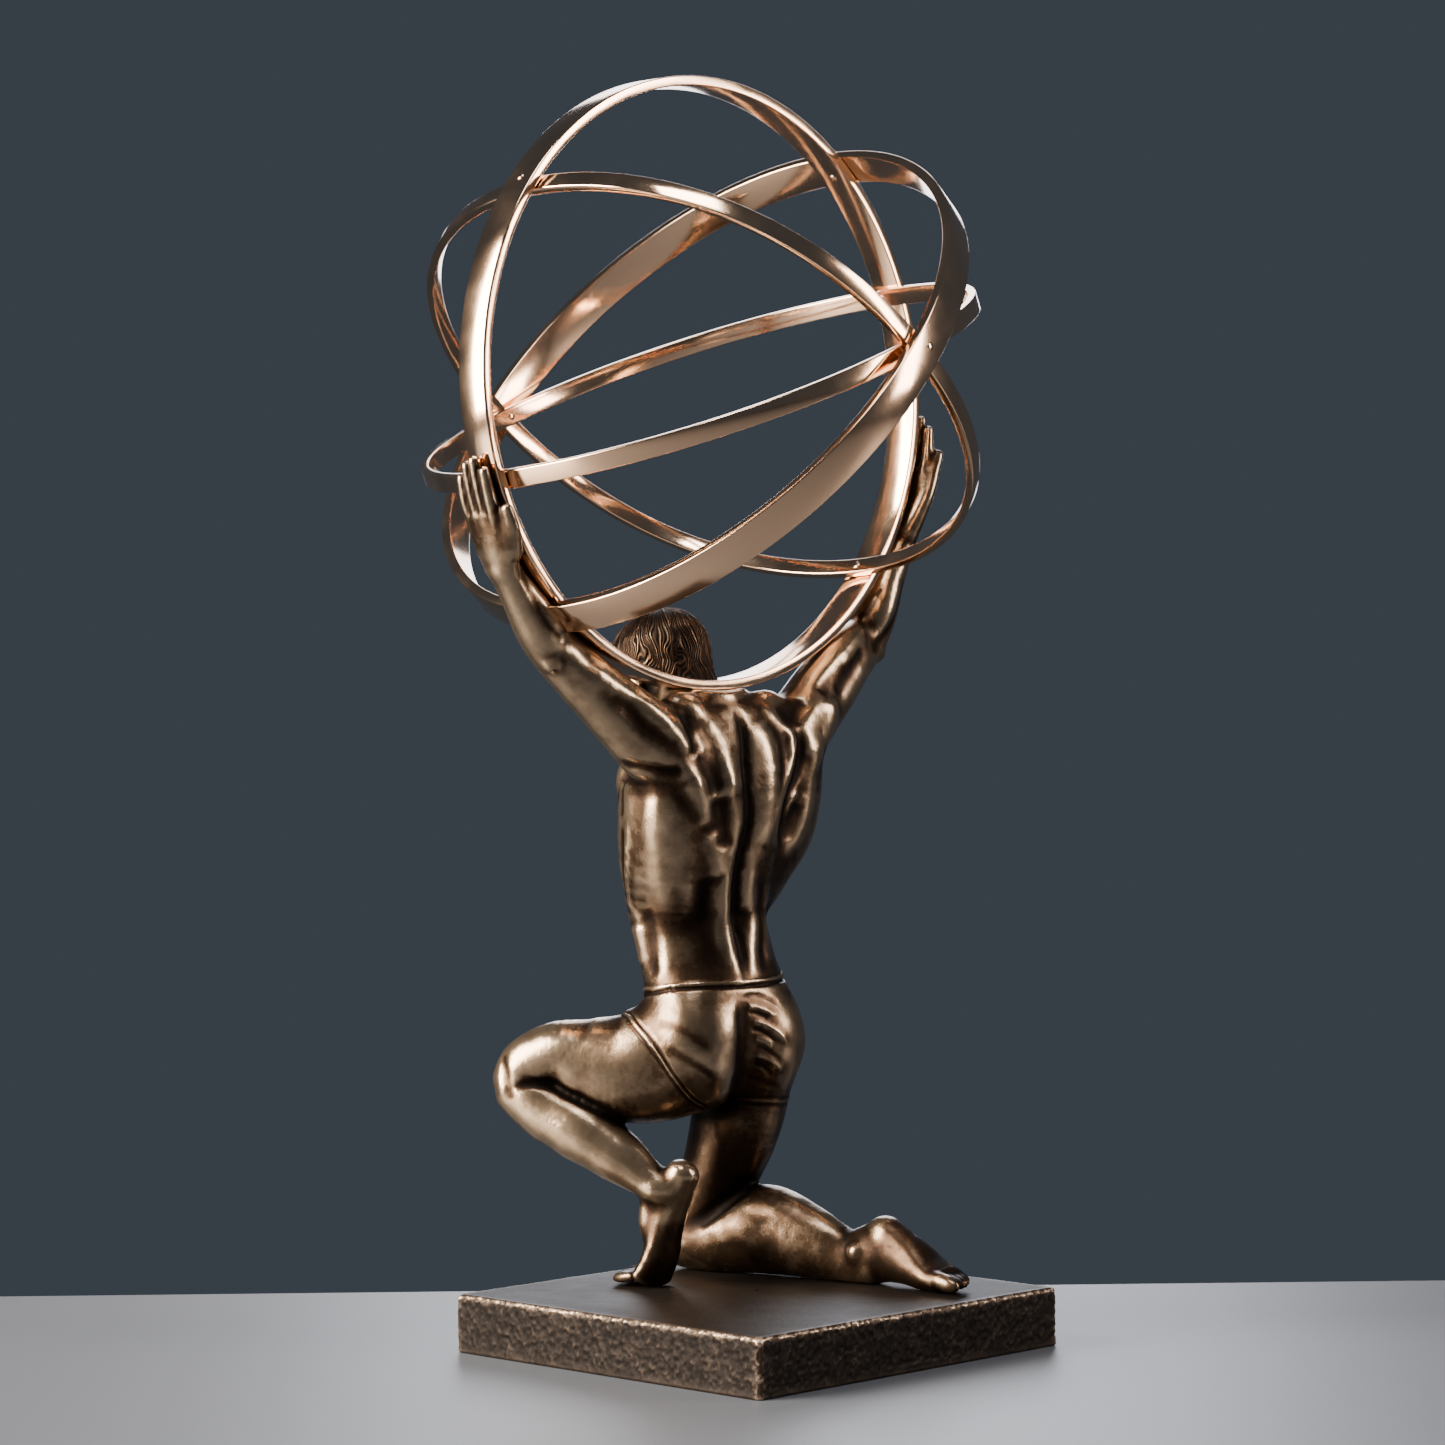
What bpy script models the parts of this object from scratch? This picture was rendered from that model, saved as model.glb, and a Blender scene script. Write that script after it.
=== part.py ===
"""Kneeling bronze-resin figure that carries an openwork sphere of four metal bands on its neck.

Metres, +Z up. The origin is the middle of the plinth's underside. The figure faces -Y.
"""
import math

import bmesh
import bpy
from mathutils import Matrix, Vector

# Plinth
plinth_side = 0.109
plinth_height = 0.015
plinth_edge_radius = 0.0014

# Sphere of bands
upright_radius = 0.0797         # outside of the band that stands upright
wide_band_width = 0.0094
wide_band_thickness = 0.0026
narrow_band_width = 0.0048
narrow_band_thickness = 0.0022
tilted_pole_radius = 0.0775     # outside of the tilted band where all but the upright one cross
narrow_bulge = 0.0013           # the narrow bands stand out this much between their crossings
band_edge_radius = 0.0004
band_segments = 64
pole_rise = 3.8                 # degrees that the pole axis rises towards the back
pole_swing = 2.9                # degrees that it swings towards the right hand
tilted_turn = 41.8              # degrees that each band is turned about the pole axis, from level
rising_turn = -51.5
girdle_turn = 69.6
seat_gap = 0.0003               # clearance wherever two pieces meet

# Figure
figure_height = 0.240           # as if it stood upright
sphere_x = -0.008
sphere_y = -0.0245
nape_share = 153.2              # height of the nape above the plinth, in 240ths of the figure
mesh_size = 0.0011              # grain of the modelled surface
figure_faces = 6300

# One 240th of the figure's height: the pose and the proportions below are given in it
unit = figure_height / 240.0
ground = plinth_height + seat_gap
sphere_z = plinth_height + nape_share * unit + seat_gap + upright_radius


def clear_scene():
    for thing in list(bpy.data.objects):
        bpy.data.objects.remove(thing, do_unlink=True)


def make_collection(name):
    collection = bpy.data.collections.new(name)
    bpy.context.scene.collection.children.link(collection)
    return collection


def make_material(name, colour, metallic, roughness):
    material = bpy.data.materials.new(name)
    material.use_nodes = True
    shader = material.node_tree.nodes["Principled BSDF"]
    shader.inputs["Base Color"].default_value = (*colour, 1.0)
    shader.inputs["Metallic"].default_value = metallic
    shader.inputs["Roughness"].default_value = roughness
    material.diffuse_color = (*colour, 1.0)
    return material


def add_object(name, mesh, collection, material=None):
    thing = bpy.data.objects.new(name, mesh)
    collection.objects.link(thing)
    if material:
        mesh.materials.append(material)
    return thing


def mesh_from(bm, name):
    mesh = bpy.data.meshes.new(name)
    bmesh.ops.recalc_face_normals(bm, faces=bm.faces)
    bm.to_mesh(mesh)
    bm.free()
    return mesh


# Plinth: a block whose sides lean in very slightly towards the top, with softened edges
def build_plinth(collection, material):
    bm = bmesh.new()
    bmesh.ops.create_cube(bm, size=1.0)
    size = Matrix.Diagonal((plinth_side, plinth_side, plinth_height, 1.0))
    bmesh.ops.transform(bm, matrix=Matrix.Translation((0, 0, plinth_height / 2)) @ size, verts=bm.verts)
    plinth = add_object("plinth", mesh_from(bm, "plinth"), collection, material)
    bevel = plinth.modifiers.new("softened edges", "BEVEL")
    bevel.width = plinth_edge_radius
    bevel.segments = 3
    return plinth


# A band is a flat strip carried round an oval: pole and side are its outside radii along and across
# the pole axis, and bulge adds to the radius midway between them
def oval_radius(angle, pole, side, bulge):
    oval = math.hypot(side * math.cos(angle), pole * math.sin(angle))
    return oval + bulge * math.sin(2 * angle) ** 2


def band_profile(width, thickness, edge):
    """Corners of the strip's section as (inwards, across) pairs, each corner cut by edge."""
    half = width / 2
    if edge == 0:
        return [(0, half), (0, -half), (thickness, -half), (thickness, half)]
    return [(0, half - edge), (0, edge - half), (edge, -half), (thickness - edge, -half),
            (thickness, edge - half), (thickness, half - edge), (thickness - edge, half), (edge, half)]


def band_mesh(name, pole, side, bulge, profile):
    bm = bmesh.new()
    rings = []
    for step in range(band_segments):
        angle = 2 * math.pi * step / band_segments
        radius = oval_radius(angle, pole, side, bulge)
        ring = []
        for inwards, across in profile:
            reach = radius - inwards
            ring.append(bm.verts.new((reach * math.cos(angle), reach * math.sin(angle), across)))
        rings.append(ring)
    for step, ring in enumerate(rings):
        after = rings[(step + 1) % band_segments]
        for side_index in range(len(profile)):
            next_index = (side_index + 1) % len(profile)
            bm.faces.new((ring[side_index], ring[next_index], after[next_index], after[side_index]))
    return mesh_from(bm, name)


# Band sizes: the tilted band passes outside the upright one, the two narrow ones pass inside it, and
# where the other three cross on the pole axis they lie inside one another
tilted_side_radius = upright_radius + seat_gap + wide_band_thickness
rising_side_radius = upright_radius - wide_band_thickness - seat_gap
rising_pole_radius = tilted_pole_radius - wide_band_thickness - seat_gap
girdle_pole_radius = rising_pole_radius - narrow_band_thickness - seat_gap
girdle_side_radius = rising_side_radius


def band_frame(turn):
    """Place of a band: its own Y is the pole axis, its own Z the normal, turned about the pole."""
    centre = Matrix.Translation((sphere_x, sphere_y, sphere_z))
    swing = Matrix.Rotation(math.radians(pole_swing), 4, "Z")
    rise = Matrix.Rotation(math.radians(pole_rise), 4, "X")
    return centre @ swing @ rise @ Matrix.Rotation(math.radians(90 - turn), 4, "Y")


level_sphere = Matrix.Translation((sphere_x, sphere_y, sphere_z))
upright_frame = level_sphere @ Matrix.Rotation(math.radians(-90), 4, "X")


def build_band(name, frame, pole, side, bulge, width, thickness, edge, collection, material):
    profile = band_profile(width, thickness, edge)
    band = add_object(name, band_mesh(name, pole, side, bulge, profile), collection, material)
    band.matrix_world = frame
    return band


def build_bands(collection, plating):
    wide = (wide_band_width, wide_band_thickness, band_edge_radius)
    narrow = (narrow_band_width, narrow_band_thickness, 0)
    build_band("upright_ring", upright_frame, upright_radius, upright_radius, 0, *wide, collection, plating)
    build_band("tilted_ring", band_frame(tilted_turn), tilted_pole_radius, tilted_side_radius, 0, *wide,
               collection, plating)
    build_band("rising_ring", band_frame(rising_turn), rising_pole_radius, rising_side_radius,
               narrow_bulge, *narrow, collection, plating)
    build_band("girdle_ring", band_frame(girdle_turn), girdle_pole_radius, girdle_side_radius,
               narrow_bulge, *narrow, collection, plating)


# Figure: points are in 240ths of its height, x and y from the plinth's middle, z from its top
def place(point):
    x, y, z = point
    return Vector((x * unit, y * unit, plinth_height + z * unit))


def around_upright(degrees, out, y):
    """A point beside the upright band: its angle from the centre, distance outside it, and y."""
    reach = (upright_radius / unit + out)
    angle = math.radians(degrees)
    centre_z = (sphere_z - plinth_height) / unit
    return (sphere_x / unit + reach * math.cos(angle), y, centre_z + reach * math.sin(angle))


def smooth_through(values, share):
    """Catmull-Rom value at share (0 to 1) through evenly spaced tuples."""
    spans = len(values) - 1
    index = min(int(share * spans), spans - 1)
    t = share * spans - index
    near = [values[max(0, min(spans, index + k))] for k in (-1, 0, 1, 2)]
    result = []
    for a, b, c, d in zip(*near):
        result.append(0.5 * (2 * b + (c - a) * t + (2 * a - 5 * b + 4 * c - d) * t * t
                             + (3 * b - a - 3 * c + d) * t ** 3))
    return result


def loft(bm, stations, across, steps=24, around=20):
    """Carries an ellipse along a smooth path: a station is (x, y, z, half width, half depth)."""
    across = Vector(across).normalized()
    rows = [smooth_through(stations, i / steps) for i in range(steps + 1)]
    centres = [place(row[:3]) for row in rows]
    rings = []
    for i, row in enumerate(rows):
        ahead = (centres[min(i + 1, steps)] - centres[max(i - 1, 0)]).normalized()
        wide = (across - ahead * across.dot(ahead)).normalized()
        deep = ahead.cross(wide)
        ring = []
        for k in range(around):
            turn = 2 * math.pi * k / around
            offset = wide * (row[3] * unit * math.cos(turn)) + deep * (row[4] * unit * math.sin(turn))
            ring.append(bm.verts.new(centres[i] + offset))
        rings.append(ring)
    for low, high in zip(rings, rings[1:]):
        for k in range(around):
            following = (k + 1) % around
            bm.faces.new((low[k], low[following], high[following], high[k]))
    bm.faces.new(list(reversed(rings[0])))
    bm.faces.new(rings[-1])


def muscle(bm, start, end, half_width, half_depth, across=(0, 0, 1), overshoot=1.0):
    """An ellipsoid stretched from start to end."""
    a, b = place(start), place(end)
    along = b - a
    axis = along.normalized()
    side = Vector(across)
    side = side - axis * side.dot(axis)
    if side.length < 1e-6:
        side = axis.orthogonal()
    side.normalize()
    turn = Matrix((side, axis.cross(side), axis)).transposed().to_4x4()
    size = Matrix.Diagonal((half_width * unit, half_depth * unit, along.length / 2 * overshoot, 1.0))
    matrix = Matrix.Translation((a + b) / 2) @ turn @ size
    bmesh.ops.create_uvsphere(bm, u_segments=20, v_segments=14, radius=1.0, matrix=matrix)


left_wrist = around_upright(-35.0, 4.6, -25.5)
left_palm = around_upright(-30.5, 3.9, -25.6)
left_knuckles = around_upright(-25.5, 3.2, -25.8)
left_tips = around_upright(-15.6, 2.6, -26.2)
left_thumb = [
    around_upright(-32.5, 3.0, -20.8),
    around_upright(-28.5, 2.4, -18.4),
    around_upright(-24.6, 2.0, -17.8),
]
right_wrist = around_upright(206.5, 5.2, -23.8)
right_palm = around_upright(200.5, 4.4, -23.8)
right_knuckles = around_upright(194.5, 3.7, -23.8)
right_tips = around_upright(184.5, 3.9, -24.2)
right_thumb = [
    around_upright(206.0, 4.2, -20.5),
    around_upright(199.0, 4.2, -17.5),
    around_upright(190.9, 6.4, -17.8),
]

left_shoulder = (14.5, -20.0, 139.5)
right_shoulder = (-33.5, -19.5, 140.5)
left_elbow = (43.5, -26.5, 164.0)
right_elbow = (-69.0, -24.5, 166.0)
head_centre = (-8.0, -42.0, 157.0)
head_tilt = 36.0                # degrees that the face looks down


def between(a, b, t):
    return tuple(p + (q - p) * t for p, q in zip(a, b))


def moved(point, x=0.0, y=0.0, z=0.0):
    return (point[0] + x, point[1] + y, point[2] + z)


def add_torso(bm):
    trunk = [
        (-9.5, -25.5, 54.0, 14.0, 11.5),
        (-10.0, -24.6, 63.0, 19.4, 14.8),
        (-10.4, -24.4, 73.0, 21.0, 15.4),
        (-9.8, -26.6, 84.0, 19.8, 14.4),
        (-9.2, -29.2, 95.0, 20.3, 15.2),
        (-9.4, -28.0, 106.0, 24.8, 16.9),
        (-10.2, -26.4, 118.0, 27.9, 17.5),
        (-11.0, -24.8, 130.0, 28.3, 16.6),
        (-9.8, -25.0, 140.0, 23.6, 15.0),
        (-8.6, -26.0, 149.0, 12.5, 12.0),
    ]
    loft(bm, trunk, (1, 0, 0), steps=36, around=28)
    for side in (1, -1):
        def at(x, y, z):
            return (-9.6 + side * x, y, z)
        muscle(bm, at(7, -18, 76), at(6.2, -19.2, 112), 5.0, 5.6, (1, 0, 0), 1.15)    # low back
        muscle(bm, at(6.2, -17.5, 108), at(7, -14.2, 138), 5.0, 5.4, (1, 0, 0), 1.15)  # high back
        muscle(bm, at(15, -23, 98), at(22.5, -17, 131), 7.5, 7.0, (1, 0, 0), 1.15)    # side of the back
        muscle(bm, at(12, -13.4, 123), at(22, -14, 140), 6.4, 4.2, (1, 0, -1), 1.25)  # shoulder blade
        muscle(bm, at(2, -19, 136), at(18, -19.5, 150), 7.5, 6.5, (0, 0, 1), 1.25)    # slope of the neck
        muscle(bm, at(5, -37, 126), at(20, -34, 132), 8.5, 6.0, (0, 0, 1), 1.3)       # breast
        muscle(bm, at(4.6, -40.2, 82), at(4.6, -41.0, 92), 4.4, 3.2, (1, 0, 0))       # belly
        muscle(bm, at(4.6, -41.2, 93), at(4.6, -41.4, 102), 4.4, 3.2, (1, 0, 0))
        muscle(bm, at(4.6, -41.2, 103), at(4.8, -40.6, 113), 4.4, 3.2, (1, 0, 0))
    muscle(bm, (-31.6, -19.0, 115.0), (-36.8, -18.0, 139.0), 5.9, 6.6, (0, 1, 0), 1.2)  # right armpit
    muscle(bm, (-37.0, -20.0, 149.0), (-64.0, -23.5, 169.0), 5.6, 5.0, (0, 1, 0), 1.15)  # top of right arm
    muscle(bm, (3.0, -20.0, 50.0), (1.0, -19.0, 74.0), 12.0, 11.5, (1, 0, 0), 1.15)   # left buttock
    muscle(bm, (-19.5, -17.5, 48.5), (-19.5, -17.8, 76.0), 12.4, 12.8, (1, 0, 0), 1.1)  # right buttock


def add_legs(bm):
    left_thigh = [
        (0.0, -22.0, 60.0, 13.5, 15.2),
        (6.0, -29.0, 57.2, 13.0, 15.5),
        (11.5, -36.0, 55.8, 12.0, 14.3),
        (17.0, -43.5, 57.4, 10.6, 11.6),
        (22.0, -50.0, 59.0, 9.0, 8.8),
        (26.0, -56.0, 56.0, 7.8, 8.2),
        (27.5, -58.5, 51.5, 7.0, 7.6),
    ]
    loft(bm, left_thigh, (1, 1, 0))
    left_shin = [
        (27.5, -58.0, 51.0, 7.2, 7.8),
        (24.5, -51.5, 45.0, 7.8, 8.2),
        (20.5, -42.0, 39.5, 8.0, 8.0),
        (17.0, -33.0, 33.5, 6.8, 7.0),
        (14.0, -25.5, 28.0, 5.0, 5.2),
        (12.0, -21.0, 25.0, 4.7, 4.8),
    ]
    loft(bm, left_shin, (1, 1, 0))
    muscle(bm, (27.0, -60.5, 46.0), (28.0, -59.5, 56.0), 4.4, 3.6, (1, 1, 0), 1.2)    # kneecap
    muscle(bm, (25.0, -48.0, 43.0), (19.0, -36.0, 36.5), 5.0, 6.6, (1, 1, 0), 1.2)    # left calf
    right_thigh = [
        (-19.8, -23.0, 62.0, 13.0, 14.5),
        (-20.0, -24.4, 50.0, 12.4, 13.6),
        (-19.6, -27.0, 38.0, 11.2, 12.4),
        (-18.6, -31.8, 26.0, 9.8, 10.6),
        (-17.8, -37.5, 15.0, 8.8, 9.4),
        (-17.5, -41.0, 8.0, 7.8, 8.4),
    ]
    loft(bm, right_thigh, (1, 0, 0))
    right_shin = [
        (-17.0, -42.0, 8.0, 8.2, 8.0),
        (-18.5, -32.0, 9.0, 9.0, 9.4),
        (-21.5, -18.0, 12.0, 9.6, 11.8),
        (-24.0, -4.0, 9.5, 8.0, 9.6),
        (-26.5, 7.5, 6.5, 5.8, 6.9),
        (-27.5, 15.0, 6.5, 5.2, 6.6),
    ]
    loft(bm, right_shin, (1, 0, 0))
    muscle(bm, (-20.0, -22.0, 16.0), (-23.0, -5.0, 13.5), 5.0, 6.4, (1, 0, 0), 1.2)   # right calf


def toe_row(bm, roots, tips, radii):
    for root, tip, radius in zip(roots, tips, radii):
        muscle(bm, root, tip, radius, radius, (0, 0, 1), 1.15)


def add_feet(bm):
    # The left foot stands on its toes: sole towards the back, heel high
    left_foot = [
        (9.2, -17.0, 29.5, 4.4, 4.3),
        (10.0, -19.2, 23.5, 4.6, 4.4),
        (11.2, -21.4, 15.0, 4.9, 3.9),
        (12.4, -22.6, 7.5, 5.6, 3.6),
        (13.0, -25.0, 2.8, 6.6, 3.2),
    ]
    loft(bm, left_foot, (1, -0.1, 0))
    muscle(bm, (12.5, -24.0, 26.0), (12.6, -25.6, 12.0), 4.2, 3.2, (1, 0, 0), 1.1)    # instep
    muscle(bm, (15.4, -21.5, 27.0), (15.2, -22.0, 24.0), 2.2, 2.4, (1, 0, 0), 1.4)    # ankle bone
    spread = (8.4, 11.2, 13.4, 15.5, 17.4)
    reach = (-38.5, -38.0, -37.0, -35.5, -33.8)
    toe_row(bm, [(x, -26.0, 3.2) for x in spread], [(x + 0.5, y, 1.9) for x, y in zip(spread, reach)],
            (2.2, 1.6, 1.5, 1.5, 1.4))
    # The right foot lies stretched back: instep down, sole up
    right_foot = [
        (-28.0, 13.0, 7.4, 5.2, 7.4),
        (-28.2, 19.5, 8.8, 5.2, 8.2),
        (-28.4, 26.0, 7.4, 5.8, 6.8),
        (-28.8, 33.0, 4.8, 6.6, 4.9),
        (-29.2, 38.5, 3.2, 6.6, 3.4),
    ]
    loft(bm, right_foot, (1, 0, 0))
    muscle(bm, (-28.0, 17.5, 12.0), (-28.2, 21.8, 15.4), 4.0, 4.2, (1, 0, 0), 1.3)    # heel
    muscle(bm, (-22.8, 12.0, 8.5), (-22.8, 15.0, 9.0), 2.0, 2.2, (0, 0, 1), 1.4)      # ankle bone
    spread = (-24.8, -27.6, -30.0, -32.2, -34.2)
    reach = (46.5, 46.0, 45.0, 43.5, 42.0)
    toe_row(bm, [(x, 37.0, 4.2) for x in spread], [(x, y, 2.4) for x, y in zip(spread, reach)],
            (2.2, 1.6, 1.5, 1.5, 1.4))


def add_arm(bm, shoulder, elbow, wrist, side):
    inner = (shoulder[0] - side * 9.0, shoulder[1] - 1.0, shoulder[2] - 5.0)
    stations = [
        (*inner, 9.0, 9.5),
        (*shoulder, 9.4, 10.2),
        (*between(shoulder, elbow, 0.36), 7.6, 8.8),
        (*between(shoulder, elbow, 0.72), 6.6, 7.4),
        (*elbow, 5.8, 6.2),
        (*between(elbow, wrist, 0.30), 6.4, 6.2),
        (*between(elbow, wrist, 0.65), 5.2, 4.8),
        (*wrist, 4.5, 3.6),
    ]
    loft(bm, stations, (0, 1, 0), steps=32)
    back = (shoulder[0] - side, shoulder[1] + 4.5, shoulder[2] + 2.0)
    muscle(bm, back, between(shoulder, elbow, 0.48), 5.6, 6.2, (0, 1, 0), 1.15)       # back of the shoulder
    muscle(bm, moved(between(shoulder, elbow, 0.12), y=3.0, z=-5.5),
           moved(between(shoulder, elbow, 0.9), y=2.0, z=-1.0), 4.8, 4.6, (0, 1, 0), 1.1)  # under the arm
    muscle(bm, between(elbow, wrist, -0.06), moved(between(elbow, wrist, 0.55), y=2.4),
           3.8, 4.0, (0, 1, 0), 1.15)                                                # forearm
    muscle(bm, moved(elbow, side * 2.0, 2.5, -4.2), moved(elbow, side * 3.5, 2.5, -2.2),
           2.2, 2.2, (0, 1, 0), 1.6)                                                 # elbow bone


def add_hand(bm, wrist, palm, knuckles, tips, thumb, side):
    loft(bm, [(*wrist, 4.9, 3.6), (*palm, 6.3, 3.2), (*knuckles, 6.1, 2.3)], (0, 1, 0), steps=12)
    for number, shorter in enumerate((0.2, 0.0, 0.08, 0.3)):
        y = 4.4 - number * 2.95
        root = between(palm, knuckles, 0.55)
        end = between(tips, knuckles, shorter)
        middle = between(root, end, 0.5)
        finger = [
            (*moved(root, y=y * 0.9), 1.75, 1.9),
            (*moved(middle, side * 0.5, y), 1.65, 1.75),
            (*moved(end, y=y), 1.4, 1.4),
        ]
        loft(bm, finger, (0, 1, 0), steps=8, around=12)
    root, joint, end = thumb
    loft(bm, [(*root, 2.8, 2.6), (*joint, 2.2, 2.1), (*end, 1.6, 1.5)], (0, 1, 0), steps=8, around=12)


def head_frame():
    turn = Matrix.Rotation(math.radians(head_tilt), 4, "X")
    return Matrix.Translation(place(head_centre)) @ turn @ Matrix.Scale(unit, 4)


def add_head(bm):
    neck = [
        (-8.5, -23.0, 138.0, 11.0, 11.0),
        (-8.3, -26.5, 145.5, 9.2, 9.8),
        (-8.1, -31.0, 152.0, 8.4, 9.4),
        (-8.0, -36.0, 157.5, 8.4, 9.0),
    ]
    loft(bm, neck, (1, 0, 0), steps=14)
    frame = head_frame()

    def lump(x, y, z, a, b, c):
        matrix = frame @ Matrix.Translation((x, y, z)) @ Matrix.Diagonal((a, b, c, 1.0))
        bmesh.ops.create_uvsphere(bm, u_segments=24, v_segments=16, radius=1.0, matrix=matrix)

    # In the head's own frame, -Y is the way the face looks and Z its crown. The features stand at the
    # usual places of a drawn head: eyes halfway up, nose at the next quarter, mouth a third below it
    lump(0, 3.2, 3.2, 12.6, 15.4, 12.4)         # skull with its hair
    lump(0, -4.0, -4.0, 9.2, 9.6, 10.6)         # face
    lump(0, -7.0, -12.4, 5.0, 4.8, 3.4)         # chin and jaw
    lump(0, -12.6, 1.6, 7.0, 1.8, 1.5)          # brow
    lump(0, -14.6, -4.4, 1.7, 2.2, 1.6)         # nose
    lump(0, -13.4, -1.6, 1.1, 1.7, 3.2)
    lump(0, -12.3, -8.5, 2.8, 1.4, 1.3)         # lips
    for side in (-1, 1):
        lump(side * 5.6, -9.6, -4.4, 3.2, 2.8, 3.2)       # cheeks
        lump(side * 10.8, 1.2, -2.6, 1.2, 2.3, 3.6)       # ears


def flat_cutter(collection):
    """Everything below the plinth's top and its clearance."""
    bm = bmesh.new()
    bmesh.ops.create_cube(bm, size=1.0)
    size = Matrix.Diagonal((plinth_side * 1.6, plinth_side * 1.6, plinth_height * 2, 1.0))
    bmesh.ops.transform(bm, matrix=Matrix.Translation((0, 0, ground - plinth_height)) @ size, verts=bm.verts)
    return add_object("below_ground", mesh_from(bm, "below_ground"), collection)


def band_cutter(name, frame, pole, side, collection):
    """A wide band grown by the seat gap, which leaves its seat in the nape and the hands."""
    width = wide_band_width + 2 * seat_gap
    thickness = wide_band_thickness + 2 * seat_gap
    mesh = band_mesh(name, pole + seat_gap, side + seat_gap, 0, band_profile(width, thickness, 0))
    cutter = add_object(name, mesh, collection)
    cutter.matrix_world = frame
    return cutter


def build_figure(collection, cutters, material):
    bm = bmesh.new()
    add_torso(bm)
    add_legs(bm)
    add_feet(bm)
    add_arm(bm, left_shoulder, left_elbow, left_wrist, 1)
    add_arm(bm, right_shoulder, right_elbow, right_wrist, -1)
    add_hand(bm, left_wrist, left_palm, left_knuckles, left_tips, left_thumb, 1)
    add_hand(bm, right_wrist, right_palm, right_knuckles, right_tips, right_thumb, -1)
    add_head(bm)
    figure = add_object("figure", mesh_from(bm, "figure"), collection, material)

    skin = figure.modifiers.new("one skin", "REMESH")
    skin.mode = "VOXEL"
    skin.voxel_size = mesh_size
    skin.use_smooth_shade = True
    ease = figure.modifiers.new("eased joins", "SMOOTH")
    ease.factor = 0.5
    ease.iterations = 6
    fewer = figure.modifiers.new("fewer faces", "DECIMATE")
    fewer.ratio = 1.0
    count = len(figure.evaluated_get(bpy.context.evaluated_depsgraph_get()).data.polygons)
    fewer.ratio = figure_faces / (2.0 * count)

    tools = [
        flat_cutter(cutters),
        band_cutter("upright_seat", upright_frame, upright_radius, upright_radius, cutters),
        band_cutter("tilted_seat", band_frame(tilted_turn), tilted_pole_radius, tilted_side_radius, cutters),
    ]
    for tool in tools:
        tool.hide_render = True
        tool.display_type = "WIRE"
        cut = figure.modifiers.new(tool.name, "BOOLEAN")
        cut.operation = "DIFFERENCE"
        cut.object = tool
    return figure


def main():
    clear_scene()
    statue = make_collection("atlas_statue")
    cutters = make_collection("cutters")
    resin = make_material("bronze resin", (0.075, 0.052, 0.038), 0.8, 0.42)
    base = make_material("pebbled bronze resin", (0.045, 0.034, 0.027), 0.7, 0.55)
    plating = make_material("rose gold plating", (0.80, 0.50, 0.36), 1.0, 0.16)
    build_plinth(statue, base)
    build_bands(statue, plating)
    build_figure(statue, cutters, resin)


main()
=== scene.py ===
import math
import bmesh
import bpy
import numpy as np
from mathutils import Matrix, Vector


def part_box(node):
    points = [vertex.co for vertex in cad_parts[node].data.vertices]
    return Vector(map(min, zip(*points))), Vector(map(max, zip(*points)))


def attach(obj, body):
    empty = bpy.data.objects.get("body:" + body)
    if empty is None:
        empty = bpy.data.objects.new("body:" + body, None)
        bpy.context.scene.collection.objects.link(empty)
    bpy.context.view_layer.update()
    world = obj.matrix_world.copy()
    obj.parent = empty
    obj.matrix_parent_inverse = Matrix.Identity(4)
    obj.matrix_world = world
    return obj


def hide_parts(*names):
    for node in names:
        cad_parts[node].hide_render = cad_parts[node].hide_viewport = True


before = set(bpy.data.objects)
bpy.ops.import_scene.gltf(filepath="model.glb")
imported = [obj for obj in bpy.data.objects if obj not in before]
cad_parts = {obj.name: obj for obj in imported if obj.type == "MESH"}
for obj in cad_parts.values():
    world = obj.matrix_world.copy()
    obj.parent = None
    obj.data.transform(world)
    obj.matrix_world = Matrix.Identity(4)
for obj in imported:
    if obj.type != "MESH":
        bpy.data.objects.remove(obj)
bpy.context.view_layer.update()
print("frame loaded, nodes:", ", ".join(sorted(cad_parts)))

mm = 0.001


# Small helpers on whole arrays
def unitRows(rows):
    return rows / np.maximum(np.linalg.norm(rows, axis=-1, keepdims=True), 1e-12)


# Catmull-Rom: each value is a cubic through the two stations around it, with slopes from their neighbours
def alongPath(stations, count):
    rows = np.array(stations, dtype=float)
    spans = len(rows) - 1
    share = np.linspace(0, spans, count)
    index = np.minimum(share.astype(int), spans - 1)
    t = (share - index)[:, None]
    a, b, c, d = (rows[np.clip(index + k, 0, spans)] for k in (-1, 0, 1, 2))
    bend, twist = 2 * a - 5 * b + 4 * c - d, 3 * b - a - 3 * c + d
    return 0.5 * (2 * b + (c - a) * t + bend * t ** 2 + twist * t ** 3)


# Value noise: random values at whole-number points, blended smoothly between them, from -1 to 1
def softNoise(points, seed=0):
    cell = np.floor(points).astype(np.int64)
    part = points - cell
    part = part * part * (3 - 2 * part)
    total = np.zeros(len(points))
    for corner in range(8):
        step = np.array([corner & 1, corner >> 1 & 1, corner >> 2])
        at = (cell + step + 1024) & 2047
        key = at[:, 0] * 73856093 ^ at[:, 1] * 19349663 ^ at[:, 2] * 83492791
        key = (key ^ (seed * 2654435761)) & 0xFFFFFFFF
        key = (key ^ key >> 15) * 2246822519 & 0xFFFFFFFF
        key = (key ^ key >> 13) * 3266489917 & 0xFFFFFFFF
        value = (key ^ key >> 16) / 4294967295.0
        weight = np.prod(np.where(step, part, 1 - part), axis=1)
        total += value * weight
    return total * 2 - 1


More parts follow.
